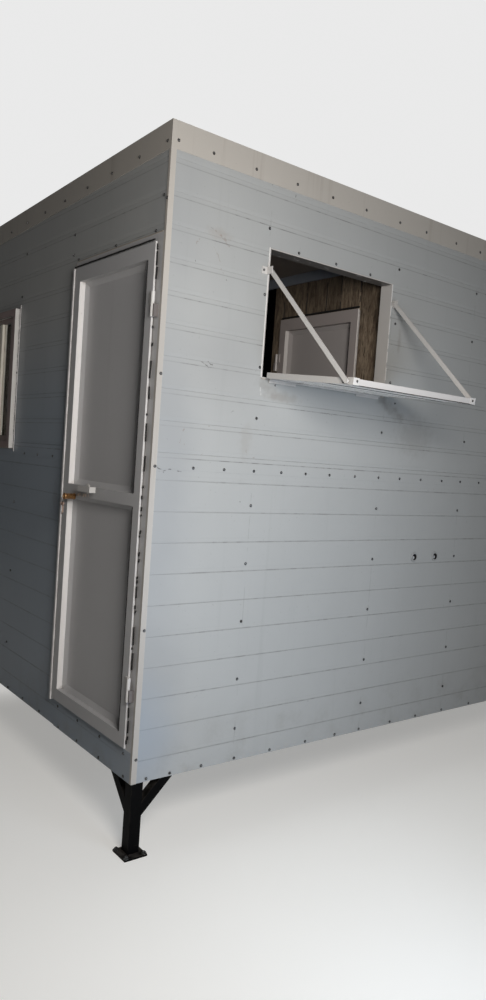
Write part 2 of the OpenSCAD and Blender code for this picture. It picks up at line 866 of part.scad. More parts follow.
module window_frame() {
    color(white) place()
        difference() {
            translate([-window_proud, window_y, z0 + window_z])
                cube([window_proud + inner_t, window_w, window_h]);
            translate([-window_proud - cut, window_y + window_face, z0 + window_z + window_face])
                cube([window_proud + inner_t + 2 * cut, window_open, sash_h]);
        }
}

// Places its child at the corner of each of the two sashes
module at_sashes() {
    for (i = [0, 1])
        translate([i * (sash_t + sash_gap) - sash_out, window_y + window_face + i * (window_open - sash_l),
            z0 + window_z + window_face])
            children();
}

module window_sashes() {
    color(white) place() at_sashes()
        difference() {
            cube([sash_t, sash_l, sash_h]);
            translate([-cut, sash_w, sash_w])
                cube([sash_t + 2 * cut, sash_l - 2 * sash_w, sash_h - 2 * sash_w]);
        }
}

module window_glass() {
    color([0.6, 0.7, 0.75, 0.5]) place() at_sashes()
        translate([sash_t / 2 - glass_t / 2, sash_w, sash_w])
            cube([glass_t, sash_l - 2 * sash_w, sash_h - 2 * sash_w]);
}

module hatch_lining_frame() {
    color(white) place()
        difference() {
            translate([hatch_x - hatch_lining, -hatch_proud, z0 + hatch_z - hatch_lining])
                cube([hatch_w + 2 * hatch_lining, inner_t + hatch_proud, hatch_h + 2 * hatch_lining]);
            translate([hatch_x, -hatch_proud - cut, z0 + hatch_z])
                cube([hatch_w, inner_t + hatch_proud + 2 * cut, hatch_h]);
        }
}

// Turns a closed flap about its hinge line to where it rests on its stays
module flap_at_rest() {
    translate([0, flap_axis_y, flap_axis_z]) rotate([flap_open, 0, 0])
        translate([0, -flap_axis_y, -flap_axis_z]) children();
}

module flap_rim_frame() {
    color(white) place() flap_at_rest()
        difference() {
            translate([flap_x, -flap_proud, flap_z]) cube([flap_w, flap_t, flap_l]);
            translate([flap_x + flap_rim, -flap_proud - cut, flap_z + flap_rim])
                cube([flap_w - 2 * flap_rim, flap_t + 2 * cut, flap_l - 2 * flap_rim]);
        }
}

module flap_panel() {
    color(sheet) place() flap_at_rest()
        translate([0, flap_panel_in - flap_proud, 0])
            wall_x(flap_x + flap_rim, flap_x + flap_w - flap_rim, flap_z - z0 + flap_rim,
                flap_z - z0 + flap_l - flap_rim, flap_panel_t);
}

// Plates and knuckles that the flap's middle knuckle turns between
module flap_hinge() {
    color("#b9bcbc") place()
        for (x = [flap_x + flap_hinge_end, flap_x + flap_w - flap_hinge_end - flap_knuckle_l])
            translate([x, flap_axis_y, flap_axis_z]) {
                rotate([0, 90, 0]) cylinder(d = flap_knuckle_d, h = flap_knuckle_l);
                translate([0, 0, -flap_strap_t / 2])
                    cube([flap_knuckle_l, -flap_axis_y - hatch_proud, flap_strap_t]);
                translate([0, -flap_axis_y - hatch_proud - flap_strap_t, -flap_plate_h])
                    cube([flap_knuckle_l, flap_strap_t, flap_plate_h + flap_strap_t / 2]);
            }
}

module flap_strap() {
    x = flap_x + flap_hinge_end + flap_knuckle_l + strap_gap;
    l = flap_w - 2 * (flap_hinge_end + flap_knuckle_l + strap_gap);
    color("#b9bcbc") place() flap_at_rest() {
        translate([x, flap_axis_y, flap_axis_z]) rotate([0, 90, 0]) cylinder(d = flap_knuckle_d, h = l);
        translate([x, -flap_proud - flap_strap_t, flap_axis_z])
            cube([l, flap_strap_t, flap_hinge_below + flap_rim]);
    }
}

// Angle brackets on the flap's outer corners
module flap_brackets() {
    color("#b9bcbc") place() flap_at_rest()
        for (x = [flap_x, flap_x + flap_w - bracket_w])
            translate([x, -flap_proud, flap_z + flap_l]) {
                cube([bracket_w, flap_t, bracket_t]);
                translate([0, flap_t, -bracket_w + bracket_t]) cube([bracket_w, bracket_t, bracket_w]);
            }
}

// Brackets on the cladding that carry the stays' upper pins
module stay_brackets() {
    color("#b9bcbc") place()
        for (side = [0, 1])
            translate([hatch_x + side * hatch_w, 0, stay_axis_z]) mirror([side, 0, 0])
                translate([-stay_beside - stay_t - stay_side_gap, 0, 0]) {
                    translate([-bracket_t, -stay_pin_out - bracket_w / 2, -bracket_w / 2])
                        cube([bracket_t, stay_pin_out + bracket_w / 2, bracket_w]);
                    translate([-bracket_w, -bracket_t, -bracket_w / 2])
                        cube([bracket_w, bracket_t, bracket_w]);
                    translate([-eps, -stay_pin_out, 0]) rotate([0, 90, 0])
                        cylinder(d = stay_pin_d, h = stay_t + stay_side_gap + stay_pin_over);
                }
}

// A stay from its upper pin to the bolt at its foot, which stops short of the flap's side
module stay() {
    bolt_l = stay_beside + flap_side_gap - stay_foot_gap;
    translate([0, stay_axis_y, stay_axis_z]) rotate([-stay_tilt, 0, 0]) mirror([0, 0, 1]) {
        rotate([90, 0, 90]) linear_extrude(stay_t) difference() {
            union() {
                circle(d = stay_w);
                translate([-stay_w / 2, 0]) square([stay_w, stay_l]);
                translate([0, stay_l]) circle(d = stay_w);
            }
            circle(d = stay_pin_d + 2 * pin_gap);
        }
        translate([0, 0, stay_l]) rotate([0, 90, 0]) cylinder(d = stay_pin_d, h = stay_t + bolt_l);
    }
}

module stay_left() {
    color(white) place() translate([hatch_x - stay_beside - stay_t, 0, 0]) stay();
}

module stay_right() {
    color(white) place() translate([hatch_x + hatch_w + stay_beside + stay_t, 0, 0]) mirror([1, 0, 0]) stay();
}

module partition_wall(ya, yb, za, zb) {
    translate([part_x, ya, za]) cube([part_t, yb - ya, zb - za]);
}

module partition_near() {
    color(timber) place() partition_wall(inner_t, inner_open_y0, deck_top, ceiling_z);
}

module partition_far() {
    color(timber) place() partition_wall(part_post_y + part_post_w, cabin_w - inner_t, deck_top, ceiling_z);
}

// Boards over the inner door and beside its frame
module partition_over() {
    color(timber) place() {
        partition_wall(inner_open_y0, part_post_y, inner_open_top, ceiling_z);
        partition_wall(inner_open_y1, part_post_y, deck_top, ceiling_z);
    }
}

module partition_post() {
    color(black) place()
        translate([part_x, part_post_y, deck_top])
            cube([part_t, part_post_w, ceiling_z - deck_top]);
}

module inner_door_frame() {
    color(white) place()
        difference() {
            translate([part_x, inner_open_y0, deck_top])
                cube([part_t, inner_open_y1 - inner_open_y0, inner_open_top - deck_top]);
            translate([part_x - cut, inner_open_y0 + jamb_w, deck_top + jamb_w])
                cube([part_t + 2 * cut, inner_open_y1 - inner_open_y0 - 2 * jamb_w,
                    inner_open_top - deck_top - 2 * jamb_w]);
        }
}

module inner_door_hinges() {
    color(white) place()
        for (z = hinge_heights)
            translate([part_x - door_proud, inner_y + inner_w, z0 + door_z + z])
                mirror([0, 1, 0]) frame_hinge(door_proud);
}

module inner_door_hinge_leaves() {
    color(white) place()
        for (z = hinge_heights)
            translate([part_x - door_proud, inner_y + inner_w, z0 + door_z + z])
                mirror([0, 1, 0]) leaf_hinge();
}

module inner_door_leaf() {
    color(white) place() translate([part_x - door_proud, inner_y, z0 + door_z]) leaf(inner_w);
}

module inner_door_panels() {
    color(white) place() translate([part_x - door_proud, inner_y, z0 + door_z]) leaf_panels(inner_w);
}

module inner_door_lever() {
    color(white) place()
        translate([part_x - door_proud, inner_y + inner_lever_in, z0 + door_z + lever_z])
            mirror([0, 1, 0]) lever();
}

module pipe_sleeves() {
    color("#4a4a48") place()
        for (i = [0, 1])
            translate([sleeve_x + i * sleeve_gap, 0, z0 + sleeve_z])
                rotate([-90, 0, 0])
                    difference() {
                        union() {
                            translate([0, 0, -sleeve_in]) cylinder(d = sleeve_d, h = inner_t + 2 * sleeve_in);
                            translate([0, 0, -sleeve_out])
                                cylinder(d = sleeve_d + 2 * sleeve_rim, h = sleeve_out);
                        }
                        translate([0, 0, -sleeve_out - cut])
                            cylinder(d = sleeve_d - 2 * sleeve_t, h = inner_t + 2 * (sleeve_out + cut));
                    }
}

floor_beams();
floor_joists();
floor_deck();
corner_posts();
leg_front_left();
leg_front_right();
leg_back_left();
leg_back_right();
hatch_wall_left();
hatch_wall_right();
hatch_wall_below();
hatch_wall_above();
door_wall_over_door();
door_wall_middle();
door_wall_below_window();
door_wall_above_window();
door_wall_back();
door_apron();
back_wall();
end_wall();
lining_boards();
corner_trims();
fascia();
roof_sheet();
roof_beams();
ceiling();
door_frame();
door_leaf();
door_panels();
door_hinges();
door_hinge_leaves();
door_lever();
door_lock();
window_frame();
window_sashes();
window_glass();
hatch_lining_frame();
flap_rim_frame();
flap_panel();
flap_hinge();
flap_strap();
flap_brackets();
stay_brackets();
stay_left();
stay_right();
partition_near();
partition_far();
partition_over();
partition_post();
inner_door_frame();
inner_door_hinges();
inner_door_hinge_leaves();
inner_door_leaf();
inner_door_panels();
inner_door_lever();
pipe_sleeves();
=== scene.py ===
import math
import random

import bmesh
import bpy
from mathutils import Matrix, Vector


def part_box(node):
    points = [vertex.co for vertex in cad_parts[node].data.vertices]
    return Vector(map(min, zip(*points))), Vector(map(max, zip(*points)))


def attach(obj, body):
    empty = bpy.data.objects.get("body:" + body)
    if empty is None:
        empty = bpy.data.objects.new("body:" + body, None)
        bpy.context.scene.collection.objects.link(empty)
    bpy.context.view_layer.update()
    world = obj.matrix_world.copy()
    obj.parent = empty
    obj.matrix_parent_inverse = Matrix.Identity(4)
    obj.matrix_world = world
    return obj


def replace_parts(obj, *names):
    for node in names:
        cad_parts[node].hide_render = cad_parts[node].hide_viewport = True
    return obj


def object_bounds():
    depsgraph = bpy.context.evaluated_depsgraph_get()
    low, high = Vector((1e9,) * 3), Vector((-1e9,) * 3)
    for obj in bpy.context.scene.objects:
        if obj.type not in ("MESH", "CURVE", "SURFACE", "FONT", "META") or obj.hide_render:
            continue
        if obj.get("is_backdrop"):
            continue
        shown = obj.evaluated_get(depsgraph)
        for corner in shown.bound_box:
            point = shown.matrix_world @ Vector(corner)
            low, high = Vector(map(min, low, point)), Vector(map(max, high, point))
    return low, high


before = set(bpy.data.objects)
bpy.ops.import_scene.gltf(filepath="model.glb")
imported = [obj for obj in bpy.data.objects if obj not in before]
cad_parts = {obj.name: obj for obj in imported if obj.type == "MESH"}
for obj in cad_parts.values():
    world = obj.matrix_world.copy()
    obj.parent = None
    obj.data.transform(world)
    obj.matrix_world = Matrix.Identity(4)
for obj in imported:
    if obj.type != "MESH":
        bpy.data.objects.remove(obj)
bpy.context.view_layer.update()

# The viewpoint. A person stands 2.9 m off the cabin's front left corner and holds the camera
# upright and slightly askew, so that the near corner fills the tall frame.
def placed(name, data):
    """A new object in the scene."""
    made = bpy.data.objects.new(name, data)
    bpy.context.scene.collection.objects.link(made)
    return made


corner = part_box("hatch_wall_left")[0]  # lower front left corner of the cladding
yaw, pitch, roll = (math.radians(a) for a in (52.1431, -3.1137, 4.0528))
forward = Vector((math.cos(pitch) * math.cos(yaw), math.cos(pitch) * math.sin(yaw), math.sin(pitch)))
level_right = Vector((math.sin(yaw), -math.cos(yaw), 0))
level_up = level_right.cross(forward)
right = math.cos(roll) * level_right + math.sin(roll) * level_up
up = math.cos(roll) * level_up - math.sin(roll) * level_right
eye = Vector((-1.47636, -2.47785, 1.28787))  # from that corner
lens = bpy.data.cameras.new("viewpoint")
lens.sensor_width, lens.lens = 36, 27.253
lens.clip_start, lens.clip_end = 0.05, 200
camera = placed("viewpoint", lens)
turned = Matrix((right, up, -forward)).transposed().to_4x4()
camera.matrix_world = Matrix.Translation(corner + eye) @ turned
bpy.context.scene.camera = camera
bpy.context.scene.view_settings.view_transform = "Standard"


# The studio. A soft lamp low in front of the near corner and one high behind the viewer, as the
# doorway and roof lights of a dim shed light the real cabin, one for the far walls, a pale floor.
def lamp(name, place, target, size, watts, tint=(1, 1, 1)):
    """A square soft lamp, its place and target measured from the near corner."""
    light = bpy.data.lights.new(name, "AREA")
    light.shape, light.energy, light.color = "RECTANGLE", watts, tint
    light.size = light.size_y = size
    shone = placed(name, light)
    shone.rotation_mode = "QUATERNION"
    shone.location = corner + Vector(place)
    shone.visible_camera = False
    shone.rotation_quaternion = (Vector(target) - Vector(place)).to_track_quat("-Z", "Y")


lamp("doorway", (0.5, -1.871, 0.6), (0.3, 0, 1.15), 1.0, 13, (0.84, 1.0, 1.2))
lamp("roof_light", (-0.63, -2.06, 1.797), (0.6, 0, 1.4), 0.8, 48, (1.03, 1.0, 0.96))
lamp("behind", (7.0, 8.0, 4.5), (2.4, 1.8, 1.2), 3, 560)


def node(within, kind, inputs=None, **settings):
    """A node in the tree that holds within, its sockets given values or wired to other sockets."""
    tree = within.id_data
    made = tree.nodes.new(kind)
    for key, value in settings.items():
        setattr(made, key, value)
    for key, value in (inputs or {}).items():
        if isinstance(value, bpy.types.NodeSocket):
            tree.links.new(value, made.inputs[key])
        else:
            made.inputs[key].default_value = value
    return made


def socket_in(*values):
    return next(v for v in values if isinstance(v, bpy.types.NodeSocket))


def maths(operation, a, b=0.0, c=0.0, clamp=False):
    made = node(socket_in(a, b), "ShaderNodeMath", {0: a, 1: b, 2: c}, operation=operation, use_clamp=clamp)
    return made.outputs[0]


def plus(a, b):
    return maths("ADD", a, b)


def minus(a, b):
    return maths("SUBTRACT", a, b)


def times(a, b):
    return maths("MULTIPLY", a, b)


def apart(a, b):
    return maths("ABSOLUTE", minus(a, b))


def vectors(operation, a, b=(0, 0, 0)):
    """Vector maths; SCALE takes one factor, and a length or a product comes out as one value."""
    values = {0: a, "Scale" if operation == "SCALE" else 1: b}
    made = node(socket_in(a, b), "ShaderNodeVectorMath", values, operation=operation)
    return made.outputs[1 if operation in ("LENGTH", "DISTANCE", "DOT_PRODUCT") else 0]


def xyz(vector):
    return node(vector, "ShaderNodeSeparateXYZ", {0: vector}).outputs


def facing(where):
    """The three parts of the face's own normal."""
    return xyz(node(where, "ShaderNodeNewGeometry").outputs["True Normal"])


def ramp(value, low, high):
    """0 below low and 1 above high, smooth between them; low may be the greater."""
    limits = {"Value": value, "From Min": low, "From Max": high}
    return node(value, "ShaderNodeMapRange", limits, interpolation_type="SMOOTHSTEP").outputs[0]


def clouds(vector, scale, detail=3.0, rough=0.55, stretch=(1, 1, 1)):
    """Noise of that many features a metre, drawn out along an axis by a small number in stretch."""
    look = {"Vector": vectors("MULTIPLY", vector, stretch), "Scale": scale, "Detail": detail,
        "Roughness": rough}
    return node(vector, "ShaderNodeTexNoise", look).outputs[0]


def paint(red, green, blue):
    """A colour written as it looks, 0 to 255, as the shader wants it."""
    return tuple(((c / 255 + 0.055) / 1.055) ** 2.4 if c > 10 else c / 3294 for c in (red, green, blue)) + (1,)


def blend(factor, first, second):
    """A mix of two colours."""
    return node(factor, "ShaderNodeMix", {0: factor, 6: first, 7: second}, data_type="RGBA").outputs[2]


def finish_of(name, roughness, **sockets):
    """A new material, its shader with what is the same all over set on it, and Object coordinates."""
    material = bpy.data.materials.new(name)
    material.use_nodes = True
    shader = material.node_tree.nodes["Principled BSDF"]
    shader.inputs["Roughness"].default_value = roughness
    for socket, value in sockets.items():
        shader.inputs[socket.replace("_", " ")].default_value = value
    return material, shader, node(shader, "ShaderNodeTexCoord").outputs["Object"]


def wire(shader, colour, roughness=None, height=None, depth=0.001):
    """Colour, roughness and relief in metres into a shader."""
    if height is not None:
        height = node(shader, "ShaderNodeBump", {"Height": height, "Distance": depth,
            "Strength": 1.0}).outputs[0]
    for key, value in (("Base Color", colour), ("Roughness", roughness), ("Normal", height)):
        if value is not None:
            shader.id_data.links.new(value, shader.inputs[key])


world = bpy.data.worlds.new("studio")
world.use_nodes = True
bpy.context.scene.world = world
backdrop = world.node_tree.nodes["Background"]
seen = node(backdrop, "ShaderNodeLightPath").outputs
straight = maths("MAXIMUM", seen["Is Camera Ray"], seen["Is Transmission Ray"])
shown = maths("MAXIMUM", straight, times(seen["Is Glossy Ray"], 0.12))
level = node(shown, "ShaderNodeMapRange", {"Value": shown, "To Min": 0.008, "To Max": 0.82}).outputs[0]
world.node_tree.links.new(level, backdrop.inputs["Strength"])
backdrop.inputs["Color"].default_value = (1, 1, 1, 1)

floor_mesh = bpy.data.meshes.new("floor")
floor_mesh.from_pydata([(-40, -40, 0), (40, -40, 0), (40, 40, 0), (-40, 40, 0)], [], [(0, 1, 2, 3)])
floor = placed("floor", floor_mesh)
floor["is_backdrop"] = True
screed, shader, where = finish_of("pale_screed", 0.9)
wire(shader, blend(clouds(where, 0.8, 6), paint(214, 212, 208), paint(226, 225, 222)))
view = node(shader, "ShaderNodeLightPath").outputs
shader.inputs["Emission Color"].default_value = paint(226, 225, 222)
shader.id_data.links.new(times(view["Is Camera Ray"], 0.45), shader.inputs["Emission Strength"])
floor_mesh.materials.append(screed)


# The coated sheets. Pale blue-grey roll-formed steel laid in two courses, the upper lapped over
# the lower, each pressed with narrow grooves that hold dust and dirt in broken dashes, with lines
# of painted shade along them; the faces toward the door side are painted darker and bluer as shade.
def group(name, inputs, outputs, kind="ShaderNodeTree"):
    """A node group, the sockets that its inputs give inside it, and those that its outputs take."""
    made = bpy.data.node_groups.new(name, kind)
    for in_out, sockets in (("INPUT", inputs), ("OUTPUT", outputs)):
        for key, socket_kind in sockets.items():
            made.interface.new_socket(key, in_out=in_out, socket_type="NodeSocket" + socket_kind)
    return made, made.nodes.new("NodeGroupInput").outputs, made.nodes.new("NodeGroupOutput").inputs


def hand_out(result, **values):
    for key, value in values.items():
        value.id_data.links.new(value, result[key])


def place_group(made, **inputs):
    return node(socket_in(*inputs.values()), "ShaderNodeGroup", inputs, node_tree=made).outputs


# Weathering: patchy tone, dust that runs down in streaks, grime where two faces meet
weathering, given, result = group("weathering", dict(Vector="Vector", Colour="Color", Dirt="Color",
    Patches="Float", Streaks="Float", Crevices="Float", Reach="Float", Specks="Float"),
    dict(Colour="Color", Dirt="Float", Height="Float"))
spot = given["Vector"]
patch = clouds(spot, 2.3, 5, 0.6)
toned = vectors("SCALE", given["Colour"], maths("MULTIPLY_ADD", minus(patch, 0.5), given["Patches"], 1.0))
runs = times(ramp(clouds(spot, 1.0, 4, 0.6, (22, 22, 0.9)), 0.56, 0.78), given["Streaks"])
near = node(weathering, "ShaderNodeAmbientOcclusion", {"Distance": given["Reach"]}, samples=4)
shut = times(ramp(near.outputs["AO"], 0.85, 0.35), ramp(clouds(spot, 18, 4), 0.3, 0.62))
shut = times(shut, given["Crevices"])
dots = times(ramp(clouds(spot, 95, 2), 0.71, 0.76), given["Specks"])
dirty = maths("MAXIMUM", maths("MAXIMUM", runs, shut), dots, clamp=True)
hand_out(result, Colour=blend(dirty, toned, given["Dirt"]), Dirt=dirty, Height=plus(patch, times(dirty, 0.6)))


def weathered(where, colour, dirt, patches, streaks, crevices, reach=0.03, specks=0.3):
    return place_group(weathering, Vector=where, Colour=colour, Dirt=dirt, Patches=patches, Streaks=streaks,
        Crevices=crevices, Reach=reach, Specks=specks)


# A soft-edged mark round one point, a stain or a patch of painted light, broken up so that it doesn't read as a
# disc
stain_and_light_patch, given, result = group("stain_and_light_patch", dict(Vector="Vector", Centre="Vector", Size="Vector", Grain="Float"),
    dict(Mask="Float"))
away = vectors("DIVIDE", vectors("SUBTRACT", given["Vector"], given["Centre"]), given["Size"])
broken = node(stain_and_light_patch, "ShaderNodeTexNoise", {"Vector": given["Vector"], "Scale": given["Grain"], "Detail": 5.0})
hand_out(result, Mask=ramp(plus(vectors("LENGTH", away), times(broken.outputs[0], 1.2)), 1.45, 0.75))


def with_stains_and_painted_light(where, base, marks):
    """Base colour with stains and painted light, each a centre, size, strength and colour; tall ones are
    smooth.
    """
    for centre, size, strength, colour in marks:
        mark = place_group(stain_and_light_patch, Vector=where, Centre=tuple(centre), Size=size, Grain=1.2
            if size[2] > 0.3 else 30.0)
        base = blend(times(mark["Mask"], strength), base, colour)
    return base


# A scratch, rubbed mark or stroke of painted glint along a straight run, wavering, and broken where it skipped
scratch_and_glint, given, result = group("scratch_and_glint", dict(Vector="Vector", Start="Vector", Run="Vector", Width="Float"),
    dict(Mask="Float"))
spot, run = given["Vector"], given["Run"]
shake = node(scratch_and_glint, "ShaderNodeTexNoise", {"Vector": spot, "Scale": 35.0, "Detail": 2.0}).outputs["Color"]
shake = vectors("SCALE", vectors("SUBTRACT", shake, (0.5, 0.5, 0.5)), 0.022)
away = vectors("SUBTRACT", vectors("ADD", spot, shake), given["Start"])
share = maths("DIVIDE", vectors("DOT_PRODUCT", away, run), vectors("DOT_PRODUCT", run, run), clamp=True)
off = vectors("DISTANCE", away, vectors("SCALE", run, share))
thin = ramp(off, given["Width"], times(given["Width"], 0.3))
hand_out(result, Mask=times(thin, ramp(clouds(spot, 70, 2), 0.4, 0.56)))


def with_scratches_and_glints(where, base, runs):
    """Base colour with scratches and painted glint strokes, each a start, an end, a width, a strength and a
    colour.
    """
    for start, end, width, strength, colour in runs:
        mark = place_group(scratch_and_glint, Vector=where, Start=tuple(start), Run=tuple(end - start), Width=width)
        base = blend(times(mark["Mask"], strength), base, colour)
    return base


# Dashes at a groove: dirt dark at its lower notch, a faint line of painted shade along its upper
# edge, and a thin dashed line 14.5 mm under the next groove up, part dirt and part painted shade
groove_dirt_and_shade, given, result = group("groove_dirt_and_shade", dict(Along="Float", Height="Float", Pitch="Float"),
    dict(Dark="Float", Faint="Float", Under="Float"))
height, pitch = given["Height"], given["Pitch"]
up_groove, course = maths("MODULO", height, pitch), maths("FLOOR", maths("DIVIDE", height, pitch))
line = node(groove_dirt_and_shade, "ShaderNodeCombineXYZ", {0: given["Along"], 1: course}).outputs[0]
notch = times(ramp(up_groove, 0.0085, 0.0055), ramp(up_groove, 0.0, 0.002))
patchy = maths("MULTIPLY_ADD", ramp(clouds(line, 1.7, 2, 0.5, (1, 7.3, 1)), 0.38, 0.62), 0.75, 0.25)
dashed = ramp(clouds(line, 17, 3, 0.6, (1, 3.7, 1)), 0.47, 0.62)
dashed = maths("MULTIPLY_ADD", times(dashed, patchy), 0.55, 0.45)
at_top, off_shade_line = apart(up_groove, 0.0215), apart(up_groove, minus(pitch, 0.0145))
hand_out(result, Dark=times(notch, dashed), Faint=times(ramp(at_top, 0.004, 0.0015), patchy),
    Under=times(ramp(off_shade_line, 0.0027, 0.0013), dashed))


def on_hatch_wall(along, height, out=0.0):
    return corner + Vector((along, -out, height))


def on_door_wall(along, height, out=0.0):
    return corner + Vector((-out, along, height))


# Marks on the walls: a smooth film near the corner, a bluer patch at its foot that is painted cool
# light, smudges by the hatch, painted shadow of the flap on the wall below it, dirt at the door's jamb
wall_marks = [(on_hatch_wall(0.24, 2.155), (0.10, 0.02, 0.035), 0.22, paint(150, 132, 118)),
    (on_hatch_wall(0.62, 1.56), (0.16, 0.02, 0.035), 0.25, paint(128, 116, 104)),
    (on_hatch_wall(0.0, 1.0), (0.34, 0.3, 2.2), 0.8, paint(158, 160, 162)),
    (on_hatch_wall(0.3, 1.7), (0.35, 0.3, 0.35), 0.4, paint(160, 160, 160)),
    (on_hatch_wall(0.0, 0.15), (0.30, 0.3, 0.40), 0.6, paint(156, 166, 178)),
    (on_hatch_wall(1.50, 1.46), (0.22, 0.02, 0.17), 0.2, paint(122, 114, 104)),
    (on_hatch_wall(1.33, 1.90), (0.02, 0.02, 0.10), 0.25, paint(120, 106, 94)),
    (on_door_wall(0.86, 1.05), (0.02, 0.05, 0.12), 0.20, paint(96, 88, 82)),
    (on_hatch_wall(0.44, 1.36), (0.05, 0.02, 0.12), 0.16, paint(138, 126, 112))]
# Painted shadow of the flap: soft marks running down and to the right from each end of its hinge.
for i in range(5):
    flap_shadow_spot = on_hatch_wall(1.24 + 0.035 * i, 1.612 - 0.0195 * i)
    wall_marks.append((flap_shadow_spot, (0.06, 0.02, 0.042), 0.32 - 0.04 * i, paint(98, 88, 78)))
for i in range(3):
    flap_shadow_spot = on_hatch_wall(0.515 + 0.045 * i, 1.608 - 0.026 * i)
    wall_marks.append((flap_shadow_spot, (0.07, 0.02, 0.042), 0.26 - 0.06 * i, paint(112, 102, 92)))

# Scratches: start, end, width and strength, along the wall and up from the corner
scuff, dark_scuff, pale_scuff = paint(134, 116, 102), paint(78, 74, 70), paint(214, 212, 208)
hatch_scratches = [(0.160, 2.188, 0.212, 2.170, 0.0016, 0.5, dark_scuff),
    (0.212, 2.170, 0.308, 2.110, 0.0045, 0.45, scuff), (0.239, 2.156, 0.275, 2.138, 0.0060, 0.35, scuff),
    (0.127, 2.049, 0.145, 2.028, 0.0022, 0.7, dark_scuff), (0.263, 2.027, 0.271, 2.008, 0.0024, 0.6, scuff),
    (0.285, 1.991, 0.293, 1.984, 0.0030, 0.8, dark_scuff), (0.217, 2.105, 0.254, 2.051, 0.0030, 0.3, scuff),
    (0.150, 2.120, 0.142, 2.095, 0.0035, 0.4, scuff), (0.488, 2.420, 0.488, 2.396, 0.0018, 0.7, dark_scuff),
    (0.614, 2.404, 0.615, 2.376, 0.0018, 0.7, dark_scuff),
    (0.484, 2.352, 0.483, 2.336, 0.0016, 0.5, dark_scuff),
    (0.188, 1.657, 0.232, 1.638, 0.0024, 0.85, dark_scuff),
    (0.225, 1.660, 0.267, 1.643, 0.0018, 0.7, dark_scuff),
    (0.355, 1.470, 0.374, 1.476, 0.0020, 0.7, dark_scuff), (0.366, 1.514, 0.390, 1.518, 0.0020, 0.5, scuff),
    (0.411, 1.428, 0.413, 1.404, 0.0024, 0.7, dark_scuff), (0.136, 1.386, 0.119, 1.331, 0.0034, 0.5, scuff),
    (0.143, 1.356, 0.139, 1.311, 0.0034, 0.5, scuff), (0.028, 1.238, 0.060, 1.213, 0.0030, 0.75, dark_scuff),
    (0.030, 1.214, 0.090, 1.226, 0.0030, 0.8, dark_scuff),
    (0.104, 1.2215, 0.152, 1.2215, 0.0030, 0.9, dark_scuff), (0.222, 1.285, 0.232, 1.295, 0.0030, 0.6, scuff),
    (0.254, 1.405, 0.262, 1.413, 0.0022, 0.6, scuff), (0.451, 1.328, 0.448, 1.302, 0.0024, 0.6, scuff),
    (0.480, 1.296, 0.494, 1.292, 0.0040, 0.6, scuff), (0.060, 1.350, 0.066, 1.342, 0.0022, 0.6, dark_scuff),
    (0.334, 1.053, 0.342, 1.048, 0.0022, 0.8, dark_scuff),
    (0.434, 1.108, 0.438, 1.105, 0.0026, 0.8, dark_scuff),
    (0.490, 1.150, 0.492, 1.128, 0.0018, 0.5, dark_scuff),
    (1.384, 1.530, 1.390, 1.526, 0.0030, 0.9, dark_scuff),
    (1.343, 1.493, 1.349, 1.488, 0.0026, 0.7, dark_scuff),
    (1.259, 0.862, 1.261, 0.838, 0.0024, 0.8, dark_scuff),
    (0.500, 1.585, 0.503, 1.560, 0.0030, 0.8, pale_scuff),
    (1.384, 1.530, 1.392, 1.522, 0.0040, 0.8, dark_scuff),
    (0.850, 1.515, 0.930, 1.512, 0.0024, 0.5, dark_scuff), (2.300, 0.500, 2.480, 0.420, 0.0030, 0.4, scuff)]
door_scratches = [(0.865, 1.213, 0.905, 1.209, 0.0032, 0.8, dark_scuff),
    (0.840, 1.060, 0.828, 0.985, 0.0040, 0.4, scuff), (1.150, 1.060, 1.260, 1.062, 0.0022, 0.4, pale_scuff),
    (0.900, 1.350, 0.980, 1.352, 0.0020, 0.3, pale_scuff)]
wall_runs = [(wall(*mark[0:2]), wall(*mark[2:4]), *mark[4:])
    for wall, marks in ((on_hatch_wall, hatch_scratches), (on_door_wall, door_scratches)) for mark in marks]

stud_places = (0.493, 1.264, 1.898, 2.53, 3.166)
groove_pitch, lower_first, upper_first, lap = 0.122, 0.086, 1.289, 1.226
grime_and_shade = paint(58, 52, 46)
cladding, shader, where = finish_of("coated_sheet", 0.42, Specular_IOR_Level=0.45)
x, y, z = xyz(where)
over = maths("GREATER_THAN", z, corner.z + lap)
start_height = plus(corner.z + lower_first - 0.003 - 5 * groove_pitch, times(over, upper_first - lower_first))
lines = place_group(groove_dirt_and_shade, Along=plus(x, times(y, 1.31)), Height=minus(z, start_height),
    Pitch=groove_pitch)
# Painted shade: faces that look along -X are tinted darker and bluer, more so lower down.
shaded_side_tint = times(ramp(facing(where)[0], -0.6, -0.9), ramp(z, corner.z + 2.1, corner.z + 1.3))
sheet_tone = blend(shaded_side_tint, paint(176, 177, 176), paint(153, 163, 174))
aged = weathered(where, sheet_tone, paint(98, 96, 92), 0.09, 0.06, 0.5, 0.012, 0.22)
# Painted shade: a faint line at each groove's upper edge, and a dashed line under the upper course's grooves.
colour = blend(times(lines["Faint"], 0.05), aged["Colour"], paint(134, 133, 130))
colour = blend(times(lines["Dark"], minus(0.33, times(over, 0.29))), colour, grime_and_shade)
colour = blend(times(times(lines["Under"], over), 0.5), colour, grime_and_shade)
for a in stud_places:
    worn = ramp(clouds(where, 5, 4, 0.6, (1, 1, 2.5)), 0.5, 0.62)
    at_seam = ramp(apart(x, corner.x + a), 0.0025, 0.0008)
    colour = blend(times(times(at_seam, worn), 0.3), colour, paint(120, 118, 115))
low_dirt = times(ramp(z, 0.62, 0.3), ramp(clouds(where, 7, 6, 0.65), 0.46, 0.75))
colour = blend(times(low_dirt, 0.3), colour, paint(126, 118, 108))
colour = with_scratches_and_glints(where, with_stains_and_painted_light(where, colour, wall_marks), wall_runs)
dents = plus(clouds(where, 3.2, 2, 0.4), times(aged["Height"], 0.05))
